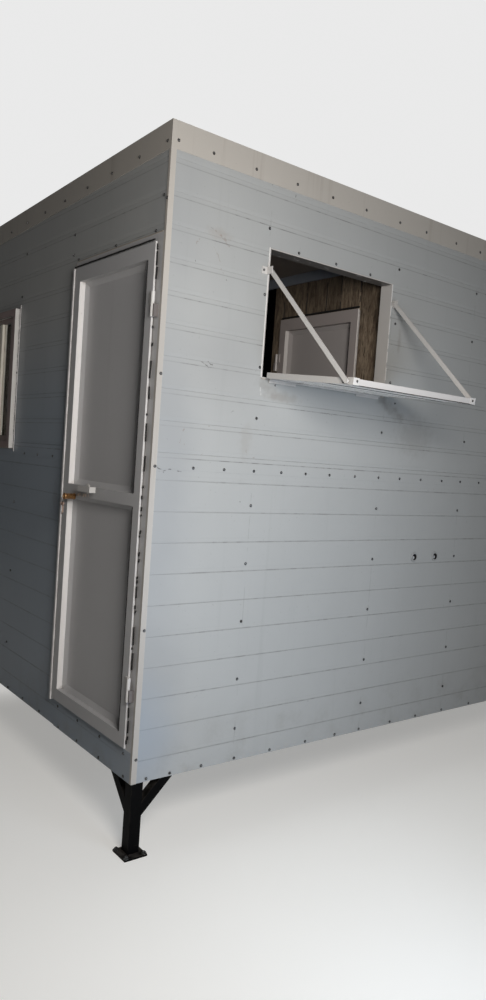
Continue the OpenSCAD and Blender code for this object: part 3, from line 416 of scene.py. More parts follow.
wire(shader, colour, plus(0.4, times(aged["Dirt"], 0.35)), dents, 0.0025)


def dress(material, *names):
    for name in names:
        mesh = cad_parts[name].data
        mesh.materials.clear()
        mesh.materials.append(material)


dress(cladding, "hatch_wall_left", "hatch_wall_right", "hatch_wall_below", "hatch_wall_above",
    "door_wall_over_door", "door_wall_middle", "door_wall_below_window", "door_wall_above_window",
    "door_wall_back", "door_apron", "back_wall", "end_wall")


# The screws. Self-drilling screws with a domed washer head, zinc-dull and rimmed with dirt, run in
# rows along every sheet's edges and up each stud, driven by hand and so never quite in line.
def lathe(profile, sides):
    """A mesh turned about +Z from (radius, height) points; a radius of 0 closes it with one point."""
    turned = bmesh.new()
    rings = []
    for radius, height in profile:
        angles = [2 * math.pi * i / sides for i in range(sides if radius else 1)]
        rings.append([turned.verts.new((radius * math.cos(a), radius * math.sin(a), height)) for a in angles])
    for low, high in zip(rings, rings[1:]):
        for i in range(sides):
            j = (i + 1) % sides
            if len(low) == 1:
                turned.faces.new((low[0], high[j], high[i]))
            elif len(high) == 1:
                turned.faces.new((low[i], low[j], high[0]))
            else:
                turned.faces.new((low[i], low[j], high[j], high[i]))
    bmesh.ops.recalc_face_normals(turned, faces=turned.faces)
    return turned


def mesh_object(name, shape, material=None, smooth=None):
    """An object from a bmesh, its edges under that angle in degrees shown smooth."""
    mesh = bpy.data.meshes.new(name)
    shape.to_mesh(mesh)
    shape.free()
    if smooth is not None:
        mesh.shade_smooth()
        mesh.set_sharp_from_angle(angle=math.radians(smooth))
    if material is not None:
        mesh.materials.append(material)
    return placed(name, mesh)


def grown(name, mesh, tree, values, body):
    """The piece that a Geometry Nodes tree makes of that mesh, riding a body."""
    carrier = placed(name, mesh)
    modifier = carrier.modifiers.new("growth", "NODES")
    modifier.node_group = tree
    for item in tree.interface.items_tree:
        if item.in_out == "INPUT" and item.name in values:
            modifier[item.identifier] = values[item.name]
    plain_mesh = bpy.data.meshes.new_from_object(carrier.evaluated_get(bpy.context.evaluated_depsgraph_get()))
    plain_mesh.name = name
    carrier.modifiers.clear()
    carrier.data = plain_mesh
    bpy.data.meshes.remove(mesh)
    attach(carrier, body)
    return carrier


def geometry_group(name, **inputs):
    return group(name, dict(Geometry="Geometry", **inputs, Finish="Material"), dict(Geometry="Geometry"),
        "GeometryNodeTree")


def hand_out_dressed(made, given, result):
    dressed = node(made, "GeometryNodeSetMaterial", {"Geometry": made.outputs[0], "Material": given["Finish"]})
    hand_out(result, Geometry=dressed.outputs[0])


laying, given, result = geometry_group("lay_pieces", Piece="Object", Scale="Float", Seed="Int", Wander="Float")
face, size, across = (node(laying, "GeometryNodeInputNamedAttribute", {"Name": name},
    data_type="FLOAT_VECTOR").outputs[0] for name in ("facing", "size", "across"))
upright = node(laying, "FunctionNodeAxesToRotation", {"Primary Axis": face, "Secondary Axis": across},
    primary_axis="Z", secondary_axis="X").outputs[0]
spin = node(laying, "FunctionNodeRandomValue", {"Max": 6.283, "Seed": given["Seed"]},
    data_type="FLOAT").outputs[1]
about = node(laying, "ShaderNodeCombineXYZ", {2: times(spin, given["Wander"])}).outputs[0]
turn = node(laying, "FunctionNodeEulerToRotation", {0: about}).outputs[0]
turned_on = node(laying, "FunctionNodeRotateRotation", {0: upright, 1: turn}, rotation_space="LOCAL").outputs[0]
piece = node(laying, "GeometryNodeObjectInfo", {"Object": given["Piece"]}).outputs["Geometry"]
laid = node(laying, "GeometryNodeInstanceOnPoints", {"Points": given["Geometry"], "Instance": piece,
    "Rotation": turned_on, "Scale": vectors("SCALE", size, given["Scale"])}).outputs[0]
tone = node(laying, "FunctionNodeRandomValue", {"Seed": given["Seed"]}, data_type="FLOAT").outputs[1]
kept = node(laying, "GeometryNodeStoreNamedAttribute", {"Geometry": laid, "Name": "tone", "Value": tone},
    data_type="FLOAT", domain="INSTANCE").outputs[0]
hand_out_dressed(node(laying, "GeometryNodeRealizeInstances", {"Geometry": kept}), given, result)


def lay(name, piece, spots, material, body, scale=1.0, seed=1, wander=1.0):
    """One mesh of that piece set at each spot: place, facing, and its width, depth and height."""
    mesh = bpy.data.meshes.new(name)
    mesh.from_pydata([tuple(s[0]) for s in spots], [], [])
    for key, index, plain in (("facing", 1, (0, 0, 1)), ("size", 2, (1, 1, 1)), ("across", 3, (0, 0, 0))):
        attribute = mesh.attributes.new(key, "FLOAT_VECTOR", "POINT")
        for i, spot in enumerate(spots):
            attribute.data[i].vector = spot[index] if len(spot) > index else plain
    values = {"Piece": piece, "Scale": scale, "Seed": seed, "Wander": wander, "Finish": material}
    return grown(name, mesh, laying, values, body)


zinc, shader, where = finish_of("zinc_screw", 0.38, Metallic=1.0)
tarnish = ramp(clouds(where, 320, 3), 0.34, 0.6)
wire(shader, blend(tarnish, paint(176, 177, 178), paint(60, 57, 54)), plus(0.25, times(tarnish, 0.4)))

screw = mesh_object("screw_head", lathe([(0.0, 0.0), (0.0052, 0.0), (0.0051, 0.0008), (0.0038, 0.001),
    (0.0036, 0.0022), (0.0027, 0.0031), (0.0014, 0.0033), (0.0012, 0.0021), (0, 0.002)], 12), smooth=50)

length, width = 3.66, 2.44
wander = random.Random(7)


def row(start, stop, pitch):
    """Places along a line, each a few millimetres off its pitch."""
    count = max(1, round((stop - start) / pitch))
    return [start + (stop - start) * i / count + wander.uniform(-0.012, 0.012) for i in range(count + 1)]


bottom_row = [0.067, 0.176, 0.329, 0.499, 0.697, 0.91, 1.099, 1.264, 1.49, 1.688, 1.906, 2.147]
bottom_row += row(2.36, 3.56, 0.2)
lap_row = [0.191, 0.342, 0.496, 0.647, 0.789, 0.935, 1.099, 1.261, 1.414, 1.574, 1.743, 1.899, 2.063]
lap_row += row(2.22, 3.6, 0.157)
fascia_row = [0.028, 0.188, 0.399] + row(0.609, 3.63, 0.21)
stud_heights = [0.142, 0.357, 0.604, 0.849, 1.094, 1.459, 1.67, 1.984, 2.235]
hatch_spots = [(a, 0.012, 0) for a in bottom_row]
hatch_spots += [(a, 1.236 + 0.0055 * a, 0) for a in lap_row]
hatch_spots += [(a, 2.449, 0.002) for a in fascia_row]
hatch_spots += [(a + wander.uniform(-0.006, 0.006), z, 0) for a in (0.491, 1.261, 1.898, 2.53, 3.166)
    for z in stud_heights if not (a < 1.3 and 1.9 < z) and not (a > 1 and a < 1.3 and 1.5 < z)]
hatch_spots += [(a, z, 0) for a, z in ((0.489, 2.237), (0.487, 1.968), (0.656, 2.173), (0.877, 2.174),
    (1.097, 2.172), (1.29, 2.235), (1.292, 1.98), (1.29, 1.7))]
hatch_spots += [(a, z, 0.002) for a in (0.0145, 3.646) for z in (0.097, 0.604, 1.236, 1.586, 2.231)
    if a > 1 or z < 2]
clear = 0.0002  # keeps what is laid on a face just off it
spots = [(on_hatch_wall(a, z, out + clear), (0, -1, 0)) for a, z, out in hatch_spots]
fall = math.tan(math.radians(1.4))
spots += [(corner + Vector((length - a, width + out + clear, z - (fall * width if z > 2.4 else 0))), (0, 1, 0))
    for a, z, out in hatch_spots if not 2.1 < z < 2.2]
side_rows = [(b, 2.442 - fall * b, 0.002) for b in row(0.05, 2.40, 0.22)]
far_studs = [(b, z, 0) for b in (0.61, 1.22, 1.83) for z in stud_heights]
far_rows = [(b, 0.012, 0) for b in row(0.07, 2.36, 0.2)] + [(b, 1.243, 0) for b in row(0.06, 2.38, 0.157)]
spots += [(corner + Vector((length + out + clear, b, z)), (1, 0, 0))
    for b, z, out in side_rows + far_studs + far_rows]
door_side = [(b, 2.447 - fall * b, 0.002) for b in (0.026, 0.234, 0.462, 0.69, 0.923, 1.15, 1.375, 1.592, 1.81,
    2.03, 2.25, 2.39)]
door_side += [(0.795, z, 0) for z in (2.245, 2.154)] + [(0.776, z, 0) for z in (1.619, 0.727, 0.30)]
door_side += [(1.36, z, 0) for z in (2.254, 0.98, 0.62, 0.24)] + [(1.40, 2.041, 0), (1.405, 1.651, 0.0045)]
door_side += [(b, 2.126, 0) for b in (0.742, 0.39, 0.0735)] + [(0.03, 2.25, 0), (0.0057, 2.234, 0.002)]
door_side += [(b, 0.012, 0.002) for b in row(0.06, 0.68, 0.2)] + [(b, 0.1, 0.002) for b in row(0.06, 0.68, 0.2)]
door_side += [(b, 0.012, 0) for b in row(0.9, 2.36, 0.2)] + [(b, 1.237, 0)
    for b in (0.775, 0.908, 1.087, 1.256)]
spots += [(on_door_wall(b, z, out + clear), (-1, 0, 0)) for b, z, out in door_side]
rubber_and_shadow_black, shader, where = finish_of("black_rubber_and_shadow", 0.75)
bloom = ramp(clouds(where, 150, 3), 0.45, 0.8)
wire(shader, blend(bloom, paint(14, 14, 15), paint(48, 46, 44)), None, bloom, 0.0002)
washer = mesh_object("washer", lathe([(0.0062, 0.0), (0.0064, 0.0006), (0.0059, 0.0012), (0.0042, 0.0012)], 12),
    smooth=50)
lay("screw_washers", washer, spots, rubber_and_shadow_black, "cabin_body", seed=4)
spots = [(place + Vector(way) * 0.0009, way) for place, way in spots]
lay("sheet_screws", screw, spots, zinc, "cabin_body", seed=3)


# The folded flashings. Cream coated sheet, bent over every outside corner and round the roof's
# edge, screwed through its face; the bends are rubbed and the faces a little buckled.
wear, given, result = group("edge_wear", dict(Vector="Vector", Radius="Float", Grain="Float"),
    dict(Mask="Float"))
eased = node(wear, "ShaderNodeBevel", {"Radius": given["Radius"]}, samples=4).outputs[0]
turned_by = vectors("DOT_PRODUCT", eased, node(wear, "ShaderNodeNewGeometry").outputs["Normal"])
gaps = node(wear, "ShaderNodeTexNoise", {"Vector": given["Vector"], "Scale": given["Grain"], "Detail": 4.0})
hand_out(result, Mask=times(ramp(turned_by, 0.985, 0.88), ramp(gaps.outputs[0], 0.42, 0.6)))


def painted(name, tone, dirt, patches, streaks, crevices, worn, worn_tone=None, radius=0.0015, roughness=0.4,
        relief=0.0006, lit_front_tone=None, foot_tone=None, marks=(), runs=(), **sockets):
    """Coated metal: weathered, its edges rubbed to the tone below, its front faces another tone as painted
    light.
    """
    material, shader, where = finish_of(name, roughness, **sockets)
    # Painted light: faces that look along -Y, toward the lamps, take the lit front tone.
    if lit_front_tone:
        tone = blend(ramp(facing(where)[1], -0.6, -0.9), tone, lit_front_tone)
    if foot_tone:
        tone = blend(ramp(xyz(where)[2], corner.z + 2.2, corner.z + 1.6), tone, foot_tone)
    aged = weathered(where, tone, dirt, patches, streaks, crevices, 0.02, 0.2)
    rubbed = times(place_group(wear, Vector=where, Radius=radius, Grain=70.0)["Mask"], worn)
    colour = blend(rubbed, aged["Colour"], worn_tone or dirt)
    colour = with_scratches_and_glints(where, with_stains_and_painted_light(where, colour, marks), runs)
    uneven = clouds(where, 9, 3)
    wire(shader, colour, plus(roughness - 0.06, times(uneven, 0.14)), plus(uneven, times(aged["Height"], 0.1)),
        relief)
    return material


cream = painted("cream_flashing", paint(191, 185, 177), paint(116, 100, 84), 0.08, 0.22, 0.35, 0.6,
    paint(214, 212, 206), foot_tone=paint(181, 176, 170))
dress(cream, "corner_trims", "fascia")


# The steel frame. Square tube legs, posts and floor beams, welded and brushed with black paint,
# with knee braces both ways under each corner and a base plate on the ground.
black, shader, where = finish_of("black_frame_paint", 0.45, Specular_IOR_Level=0.08)
aged = weathered(where, paint(5, 5, 6), paint(26, 22, 19), 0.5, 0.2, 0.3, 0.03, 0.4)
facing_up = xyz(node(where, "ShaderNodeNewGeometry").outputs["Normal"])[2]
dust = times(ramp(facing_up, 0.35, 0.9), ramp(clouds(where, 24, 5), 0.3, 0.62))
colour = blend(times(dust, 0.7), aged["Colour"], paint(78, 74, 70))
rubbed = place_group(wear, Vector=where, Radius=0.003, Grain=45.0)["Mask"]
colour = blend(times(rubbed, 0.6), colour, paint(58, 52, 47))
scrape = ramp(clouds(where, 10, 2, 0.5, (1, 1, 9)), 0.7, 0.73)
colour = blend(times(scrape, 0.4), colour, paint(48, 44, 41))
brush = clouds(where, 60, 3, 0.6, (1, 1, 0.12))
wire(shader, colour, plus(0.38, times(dust, 0.5)), brush, 0.0007)
dress(black, "floor_beams", "floor_joists", "corner_posts", "leg_front_left", "leg_front_right",
    "leg_back_left", "leg_back_right", "partition_post")

bolt = mesh_object("bolt_head", lathe([(0, 0), (0.0125, 0), (0.0125, 0.0018), (0.0085, 0.002), (0.0085, 0.0075),
    (0.0055, 0.0082), (0.005, 0.0105), (0.0035, 0.0115), (0, 0.0115)], 6), smooth=25)
plate_bolts, weld_lines = [], []
foot_box = [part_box(n) for n in ("leg_front_left", "leg_front_right", "leg_back_left", "leg_back_right")]
post_reach, plate_reach, plate_top, brace_low, brace_deep = 0.025, 0.04, 0.0081, 0.153, 0.0566
for i, (low, high) in enumerate(foot_box):
    sx, sy = (1, -1)[i % 2], (1, -1)[i // 2]
    post = Vector((low.x + 0.05 if sx > 0 else high.x - 0.05, low.y + 0.05 if sy > 0 else high.y - 0.05, 0))
    plate_bolts += [(post + Vector((u * plate_reach, v * plate_reach, plate_top)), (0, 0, 1)) for u in (-1, 1)
        for v in (-1, 1)]
    weld_lines.append([post + Vector((u * post_reach, v * post_reach, plate_top))
        for u, v in ((-1, -1), (1, -1), (1, 1), (-1, 1), (-1, -1))])
    for dx, dy in ((sx, 0), (0, sy)):
        side = Vector((-dy, dx, 0)).normalized() * 0.02
        out = Vector((dx, dy, 0))
        for z in (brace_low, brace_low + brace_deep):
            weld_lines.append([post + out * post_reach + way * side + Vector((0, 0, z)) for way in (-1, 1)])
lay("plate_bolts", bolt, plate_bolts, zinc, "cabin_body", seed=5)

welding, given, result = geometry_group("weld_ripples", Radius="Float", Pitch="Float")
run = node(welding, "GeometryNodeMeshToCurve", {"Mesh": given["Geometry"]}).outputs[0]
run = node(welding, "GeometryNodeResampleCurve", {"Curve": run, "Length": given["Pitch"]},
    mode="LENGTH").outputs[0]
drop = node(welding, "GeometryNodeMeshIcoSphere", {"Radius": given["Radius"], "Subdivisions": 2}).outputs[0]
tangent = node(welding, "GeometryNodeInputTangent").outputs[0]
heading = node(welding, "FunctionNodeAlignRotationToVector", {"Vector": tangent}, axis="X").outputs[0]
puddle = node(welding, "ShaderNodeCombineXYZ", {0: 0.62, 1: 1.0, 2: 0.8}).outputs[0]
drops = node(welding, "GeometryNodeInstanceOnPoints", {"Points": run, "Instance": drop, "Rotation": heading,
    "Scale": puddle}).outputs[0]
hand_out_dressed(node(welding, "GeometryNodeRealizeInstances", {"Geometry": drops}), given, result)


def along_lines(name, tree, lines, body, slot, **values):
    """One mesh that a Geometry Nodes tree makes along those lines."""
    mesh = bpy.data.meshes.new(name)
    points, edges = [], []
    for line in lines:
        edges += [(len(points) + i, len(points) + i + 1) for i in range(len(line) - 1)]
        points += [tuple(p) for p in line]
    mesh.from_pydata(points, edges, [])
    return grown(name, mesh, tree, values, body)


along_lines("frame_welds", welding, weld_lines, "cabin_body", "steel_frame", Radius=0.0038, Pitch=0.0028,
    Finish=black)


# The floor, lining, partition and ceiling. Upright dark wood-grain boards of uneven widths inside,
# a dull deck, and a dark ceiling under blue-grey roof beams.
grain, given, result = group("wood_grain", dict(Vector="Vector", Light="Color", Dark="Color", Tone="Float"),
    dict(Colour="Color", Height="Float"))
tone = given["Tone"]
away = node(grain, "ShaderNodeCombineXYZ", {0: tone, 1: tone, 2: times(tone, 9.0)}).outputs[0]
shifted = vectors("ADD", given["Vector"], away)
rings = maths("PINGPONG", times(clouds(shifted, 9, 2, 0.5, (1, 1, 0.14)), 16.0), 1.0)
figure = plus(times(rings, 0.13), times(clouds(shifted, 150, 4, 0.75, (1, 1, 0.14)), 0.95))
shade = blend(ramp(figure, 0.36, 0.74), given["Dark"], given["Light"])
flecks = times(ramp(clouds(shifted, 85, 3, 0.7, (1, 1, 0.16)), 0.54, 0.64), 0.7)
shade = vectors("SCALE", blend(flecks, shade, paint(34, 28, 22)), plus(0.72, times(tone, 0.56)))
hand_out(result, Colour=shade, Height=figure)

boards, shader, where = finish_of("brown_boards", 0.5)
tone = node(shader, "ShaderNodeAttribute", attribute_name="tone").outputs["Fac"]
wood = place_group(grain, Vector=where, Light=paint(154, 138, 118), Dark=paint(94, 79, 65), Tone=tone)
# Painted shade: a dark band down the boards where they meet the front wall, and darker tops.
shaded = [(corner + Vector((1.31, 0.066, 1.6)), (0.1, 0.095, 4.0), 0.85, paint(34, 28, 23)),
    (corner + Vector((1.31, 0.6, 2.3)), (0.3, 1.5, 0.55), 0.35, paint(34, 28, 23))]
wire(shader, with_stains_and_painted_light(where, wood["Colour"], shaded), plus(0.38, times(wood["Height"], 0.25)), wood["Height"],
    0.0006)
dress(boards, "lining_boards")


def board(width, depth, height, chamfer):
    """An upright board on the origin's edge, its four long edges planed off."""
    shape = bmesh.new()
    c, w, d = chamfer, width / 2, depth
    outline = [(-w, c), (-w + c, 0), (w - c, 0), (w, c), (w, d - c), (w - c, d), (-w + c, d), (-w, d - c)]
    low = [shape.verts.new((x, y, 0)) for x, y in outline]
    high = [shape.verts.new((x, y, height)) for x, y in outline]
    shape.faces.new(low[::-1])
    shape.faces.new(high)
    for i in range(8):
        shape.faces.new((low[i], low[(i + 1) % 8], high[(i + 1) % 8], high[i]))
    return shape


plank = mesh_object("plank", board(1.0, 1.0, 1.0, 0.03))
near_low, near_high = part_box("partition_near")
far_low, far_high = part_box("partition_far")
over_low, over_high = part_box("partition_over")
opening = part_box("inner_door_frame")[1]
above_door = Vector((over_low.x, over_low.y, opening.z)), Vector((over_high.x, opening.y, over_high.z))
beside_post = Vector((over_low.x, opening.y, over_low.z)), over_high
cuts = [corner.y + b for b in (0.0, 0.248, 0.393, 0.5, 0.655, 0.841, 0.925, 1.025)]
more = random.Random(11)
while cuts[-1] < far_high.y:
    cuts.append(cuts[-1] + more.choice((0.107, 0.145, 0.155, 0.198)))
plank_spots, open_joint = [], 0.0036
for start, stop in zip(cuts, cuts[1:]):
    for low, high in ((near_low, near_high), (far_low, far_high), above_door, beside_post):
        a, b = max(start, low.y), min(stop, high.y)
        if b - a > 0.012:
            half = (high.x - low.x) / 2
            for face, way in ((low.x, -1), (high.x, 1)):
                at = Vector((face, (a + b) / 2, low.z))
                plank_spots.append((at, (0, 0, 1), (b - a - open_joint, half, high.z - low.z), (0, way, 0)))
partition = lay("partition_boards", plank, plank_spots, boards, "cabin_body", seed=9,
    wander=0.0)
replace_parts(partition, "partition_near", "partition_far", "partition_over")
# Painted shade: broken dark beads down the open joints between the boards stand in for their shade.
joint_shadow_runs = []
for at, way, size, across in plank_spots:
    z = at.z + more.uniform(0.0, 0.05)
    while across[1] < 0 and z < at.z + size[2] - 0.01:
        end = min(z + more.uniform(0.03, 0.16), at.z + size[2] - 0.002)
        edge_at = at + Vector((-0.0002, -size[0] / 2 - open_joint / 2, 0))
        joint_shadow_runs.append([Vector((edge_at.x, edge_at.y, z)), Vector((edge_at.x, edge_at.y, end))])
        z = end + more.uniform(0.01, 0.05)

deck, shader, where = finish_of("deck_board", 0.7)
turned_wood = node(where, "ShaderNodeMapping", {"Vector": where,
    "Rotation": (0, math.radians(90), 0)}).outputs[0]
wood = place_group(grain, Vector=turned_wood, Light=paint(134, 118, 98), Dark=paint(92, 78, 64), Tone=0.4)
joint = apart(maths("PINGPONG", xyz(where)[0], 1.22), 0.61)
aged = weathered(where, wood["Colour"], paint(70, 62, 54), 0.3, 0.0, 0.5)
wire(shader, blend(ramp(joint, 0.003, 0.001), aged["Colour"], paint(36, 32, 28)), None, wood["Height"], 0.0006)
dress(deck, "floor_deck")

dark_board = painted("dark_ceiling_board", paint(132, 120, 110), paint(60, 54, 48), 0.2, 0.0, 0.5, 0.2,
    roughness=0.75)
dress(dark_board, "ceiling")
primer = painted("blue_grey_primer", paint(122, 127, 136), paint(110, 76, 56), 0.2, 0.2, 0.4, 0.6,
    roughness=0.6)
dress(primer, "roof_beams")
rail_high, rail_thick = 0.052, 0.012
cover = board(far_high.y - near_low.y, rail_thick, rail_high, 0.002)
rail_at = Matrix.Translation((near_low.x, (near_low.y + far_high.y) / 2, near_high.z - rail_high))
cover.transform(rail_at @ Matrix.Rotation(math.radians(90), 4, "Z"))
rail = mesh_object("ceiling_cover_strip", cover, primer)
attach(rail, "cabin_body")


# The roof. Ribbed galvanised sheet that falls a little to the back, with zinc spangle, runs of dust
# and dirt in its hollows.
galvanised, shader, where = finish_of("galvanised_sheet", 0.42, Metallic=0.45)
spangle = node(where, "ShaderNodeTexVoronoi", {"Vector": where, "Scale": 55.0})
tones = node(where, "ShaderNodeSeparateColor", {0: spangle.outputs["Color"]}).outputs
aged = weathered(where, paint(172, 175, 177), paint(118, 108, 98), 0.25, 0.35, 0.5)
facet = blend(times(tones[0], 0.3), aged["Colour"], paint(128, 132, 136))
wire(shader, facet, plus(0.32, times(tones[1], 0.22)), clouds(where, 12, 3), 0.0006)
dress(galvanised, "roof_sheet")


# The doors. Coated aluminium frames and leaves, two sunk panels in each leaf held by beads, hung
# on long knuckled hinges, with a lever and, on the outer door, a brass lock with its keys.
# Painted light: a lit front white, a painted reflection of the brass lock in pale smudges and strokes
# beside it, and a grey strip that tones the lit hinge edge down.
lit_white, brass_glint = paint(250, 247, 246), paint(255, 232, 212)
glints_and_edge_shade = [(on_door_wall(0.49, 1.028), (0.02, 0.022, 0.03), 0.8, paint(236, 228, 222)),
    (on_door_wall(0.40, 1.088), (0.02, 0.03, 0.02), 0.4, paint(216, 212, 208)),
    (on_door_wall(0.046, 1.1), (0.3, 0.008, 6.0), 0.9, paint(198, 196, 195))]
brass_glint_strokes = [(on_door_wall(b, z, 0.015), on_door_wall(c, e, 0.015), 0.011, 1.0, brass_glint)
    for b, z, c, e in ((0.582, 1.083, 0.556, 1.080), (0.545, 1.079, 0.522, 1.081),
    (0.512, 1.082, 0.484, 1.084))]
white = painted("white_joinery", paint(192, 191, 192), paint(104, 92, 80), 0.05, 0.04, 0.5, 0.35,
    paint(236, 235, 232), relief=0.0003, lit_front_tone=lit_white, marks=glints_and_edge_shade, runs=brass_glint_strokes)
dress(white, "door_frame", "door_leaf", "door_panels")
dress(painted("flap_rim_paint", paint(194, 191, 188), paint(104, 92, 80), 0.05, 0.04, 0.5, 0.3, relief=0.0003,
    lit_front_tone=paint(202, 198, 195)), "flap_rim_frame")
lining, shader, where = finish_of("hatch_lining", 0.45)
# Painted shade: faces that look down, the soffit of the hatch head, are painted dark in broken patches.
soffit_shade = times(ramp(facing(where)[2], -0.7, -0.9), ramp(clouds(where, 30, 3), 0.2, 0.4))
tone = blend(times(soffit_shade, 0.85), paint(196, 192, 188), paint(52, 47, 43))
aged = weathered(where, tone, paint(96, 86, 78), 0.12, 0.12, 0.6, 0.02)
wire(shader, aged["Colour"], None, clouds(where, 12, 3), 0.0004)
dress(lining, "hatch_lining_frame")
mauve = painted("grey_joinery", paint(162, 153, 150), paint(78, 70, 64), 0.08, 0.04, 0.5, 0.5,
    paint(196, 190, 184), relief=0.0003, lit_front_tone=paint(216, 211, 207))
dress(mauve, "inner_door_frame", "inner_door_leaf", "inner_door_hinges", "inner_door_hinge_leaves")
dress(painted("grey_panel", paint(166, 160, 158), paint(84, 76, 70), 0.1, 0.04, 0.5, 0.3, relief=0.0003),
    "inner_door_panels")
white_steel = painted("white_metal", paint(206, 203, 200), paint(110, 96, 82), 0.06, 0.12, 0.5, 0.6,
    paint(120, 112, 104), radius=0.001)
dress(white_steel, "door_hinge_leaves", "stay_left", "stay_right", "door_lever", "inner_door_lever",
    "flap_hinge", "flap_strap", "flap_brackets", "stay_brackets")
# Painted shade: the hinge parts on the frame side are painted a dark grey to read as in shade.
hinge_shade_finish, shader, where = finish_of("hinge_painted_shade", 0.4)
frame_side_shade = ramp(xyz(where)[1], corner.y + 0.0275, corner.y + 0.0255)
aged = weathered(where, blend(frame_side_shade, paint(214, 211, 208), paint(108, 102, 100)), paint(92, 82, 74),
    0.08, 0.1, 0.5, 0.01)
wire(shader, aged["Colour"], None, clouds(where, 60, 3), 0.0003)
dress(hinge_shade_finish, "door_hinges")
brass, shader, where = finish_of("worn_brass", 0.34, Metallic=0.7)
dull = ramp(clouds(where, 130, 4), 0.35, 0.65)
wire(shader, blend(dull, paint(198, 150, 98), paint(122, 86, 54)), plus(0.24, times(dull, 0.3)), dull, 0.0002)
dress(brass, "door_lock")

# The window. Two sliding glazed sashes in a deep frame that stands out from the sheets, its faces
# under a mauve-brown film that was never peeled off, its sides bright; a thin flashing beside it.
filmed, shader, where = finish_of("filmed_window_frame", 0.4)
bright = ramp(facing(where)[0], -0.9, -0.6)
film_tone = blend(clouds(where, 6, 4), paint(138, 116, 114), paint(158, 136, 132))
sheet_tone = blend(bright, film_tone, paint(236, 233, 229))
aged = weathered(where, sheet_tone, paint(70, 62, 56), 0.1, 0.1, 0.7, 0.015)
wire(shader, aged["Colour"], plus(0.32, times(aged["Dirt"], 0.4)), clouds(where, 9, 3), 0.0003)
dress(filmed, "window_frame", "window_sashes")

glass, shader, where = finish_of("window_glass", 0.04, Transmission_Weight=1.0, IOR=1.09)
film = ramp(clouds(where, 7, 6, 0.6), 0.42, 0.8)
wire(shader, blend(film, paint(226, 222, 220), paint(176, 172, 168)), plus(0.03, times(film, 0.22)))
dress(glass, "window_glass")

# The hatch flap. A grooved sheet in a white edge frame, hinged at the sill and held level by two
# flat stays that turn on pins in plates above.
under, shader, where = finish_of("flap_sheet", 0.42)
groove_lines = [corner.y - b for b in (0.462, 0.345, 0.222, 0.105)]
aged = weathered(where, paint(244, 240, 236), paint(150, 140, 130), 0.05, 0.0, 0.3, 0.012)
colour = aged["Colour"]
for at in groove_lines:
    off = apart(xyz(where)[1], at)
    dark = times(ramp(off, 0.0085, 0.006), ramp(clouds(where, 30, 1, 0.5, (1, 3, 0.1)), 0.46, 0.51))
    colour = blend(dark, colour, paint(30, 26, 24))
wire(shader, colour, None, clouds(where, 4, 2), 0.001)
dress(under, "flap_panel")

rivet = mesh_object("rivet_head", lathe([(0, 0), (0.0048, 0), (0.0047, 0.0006), (0.0036, 0.0018),
    (0.0018, 0.0024), (0, 0.0025)], 12), smooth=60)
rim_low, rim_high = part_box("flap_rim_frame")
plate_low, plate_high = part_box("flap_brackets")
front = (0, -1, 0)
flap_rivets = [(Vector((x, plate_low.y - 0.0001, rim_low.z + 0.0145)), front)
    for x in (rim_low.x + 0.019, rim_high.x - 0.019)]
flap_rivets += [(Vector((x, y, rim_low.z + 0.012)), (x_way, 0, 0))
    for x, x_way in ((rim_low.x, -1), (rim_high.x, 1)) for y in (rim_low.y + 0.05, rim_high.y - 0.06)]
lay("flap_rivets", rivet, flap_rivets, zinc, "flap_body", seed=12)
bracket_low, bracket_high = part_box("stay_brackets")
bracket_spots = [(Vector((x, bracket_high.y - 0.0042, bracket_low.z + 0.015)), front)
    for x in (bracket_low.x + 0.009, bracket_high.x - 0.009)]
lay("bracket_screws", screw, bracket_spots, zinc, "cabin_body", seed=13)


# The pipe sleeves. Dark plastic collars through the hatch wall, their flat rims painted over with
# the sheet; a capped end of pale pipe rests in the bottom of each.
collar, shader, where = finish_of("dark_plastic", 0.55)
x, _, z = xyz(where)
sleeve_low, sleeve_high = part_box("pipe_sleeves")
sleeve_mid, rim_half = (sleeve_low + sleeve_high) / 2, (sleeve_high.z - sleeve_low.z) / 2
sleeve_apart = (sleeve_high.x - sleeve_low.x) / 2 - rim_half
from_mid = maths("POWER", apart(apart(x, sleeve_mid.x), sleeve_apart), 2.0)
up_mid = maths("POWER", apart(z, sleeve_mid.z), 2.0)
off_axis = maths("SQRT", plus(from_mid, up_mid))
ragged = plus(off_axis, times(clouds(where, 160, 3), 0.002))
tone = blend(ramp(ragged, 0.0160, 0.0180), paint(24, 24, 25), paint(168, 169, 168))
aged = weathered(where, tone, paint(98, 92, 86), 0.15, 0.0, 0.5, 0.01)
wire(shader, aged["Colour"], None, clouds(where, 90, 3), 0.0003)
dress(collar, "pipe_sleeves")
pipe_tone = painted("pale_pipe", paint(186, 187, 188), paint(96, 90, 84), 0.1, 0.0, 0.4, 0.3, roughness=0.5)
pipe = mesh_object("pipe_end", lathe([(0.009, 0), (0.009, 0.0175), (0.0083, 0.0186), (0.0036, 0.019),
    (0.0030, 0.0182), (0, 0.018)], 20), smooth=40)
pipe_spots = [(Vector((sleeve_mid.x + side * sleeve_apart - 0.0020, sleeve_low.y + 0.024,
    sleeve_mid.z - 0.0044)), front) for side in (-1, 1)]
lay("pipe_ends", pipe, pipe_spots, pipe_tone, "cabin_body", wander=0.0)

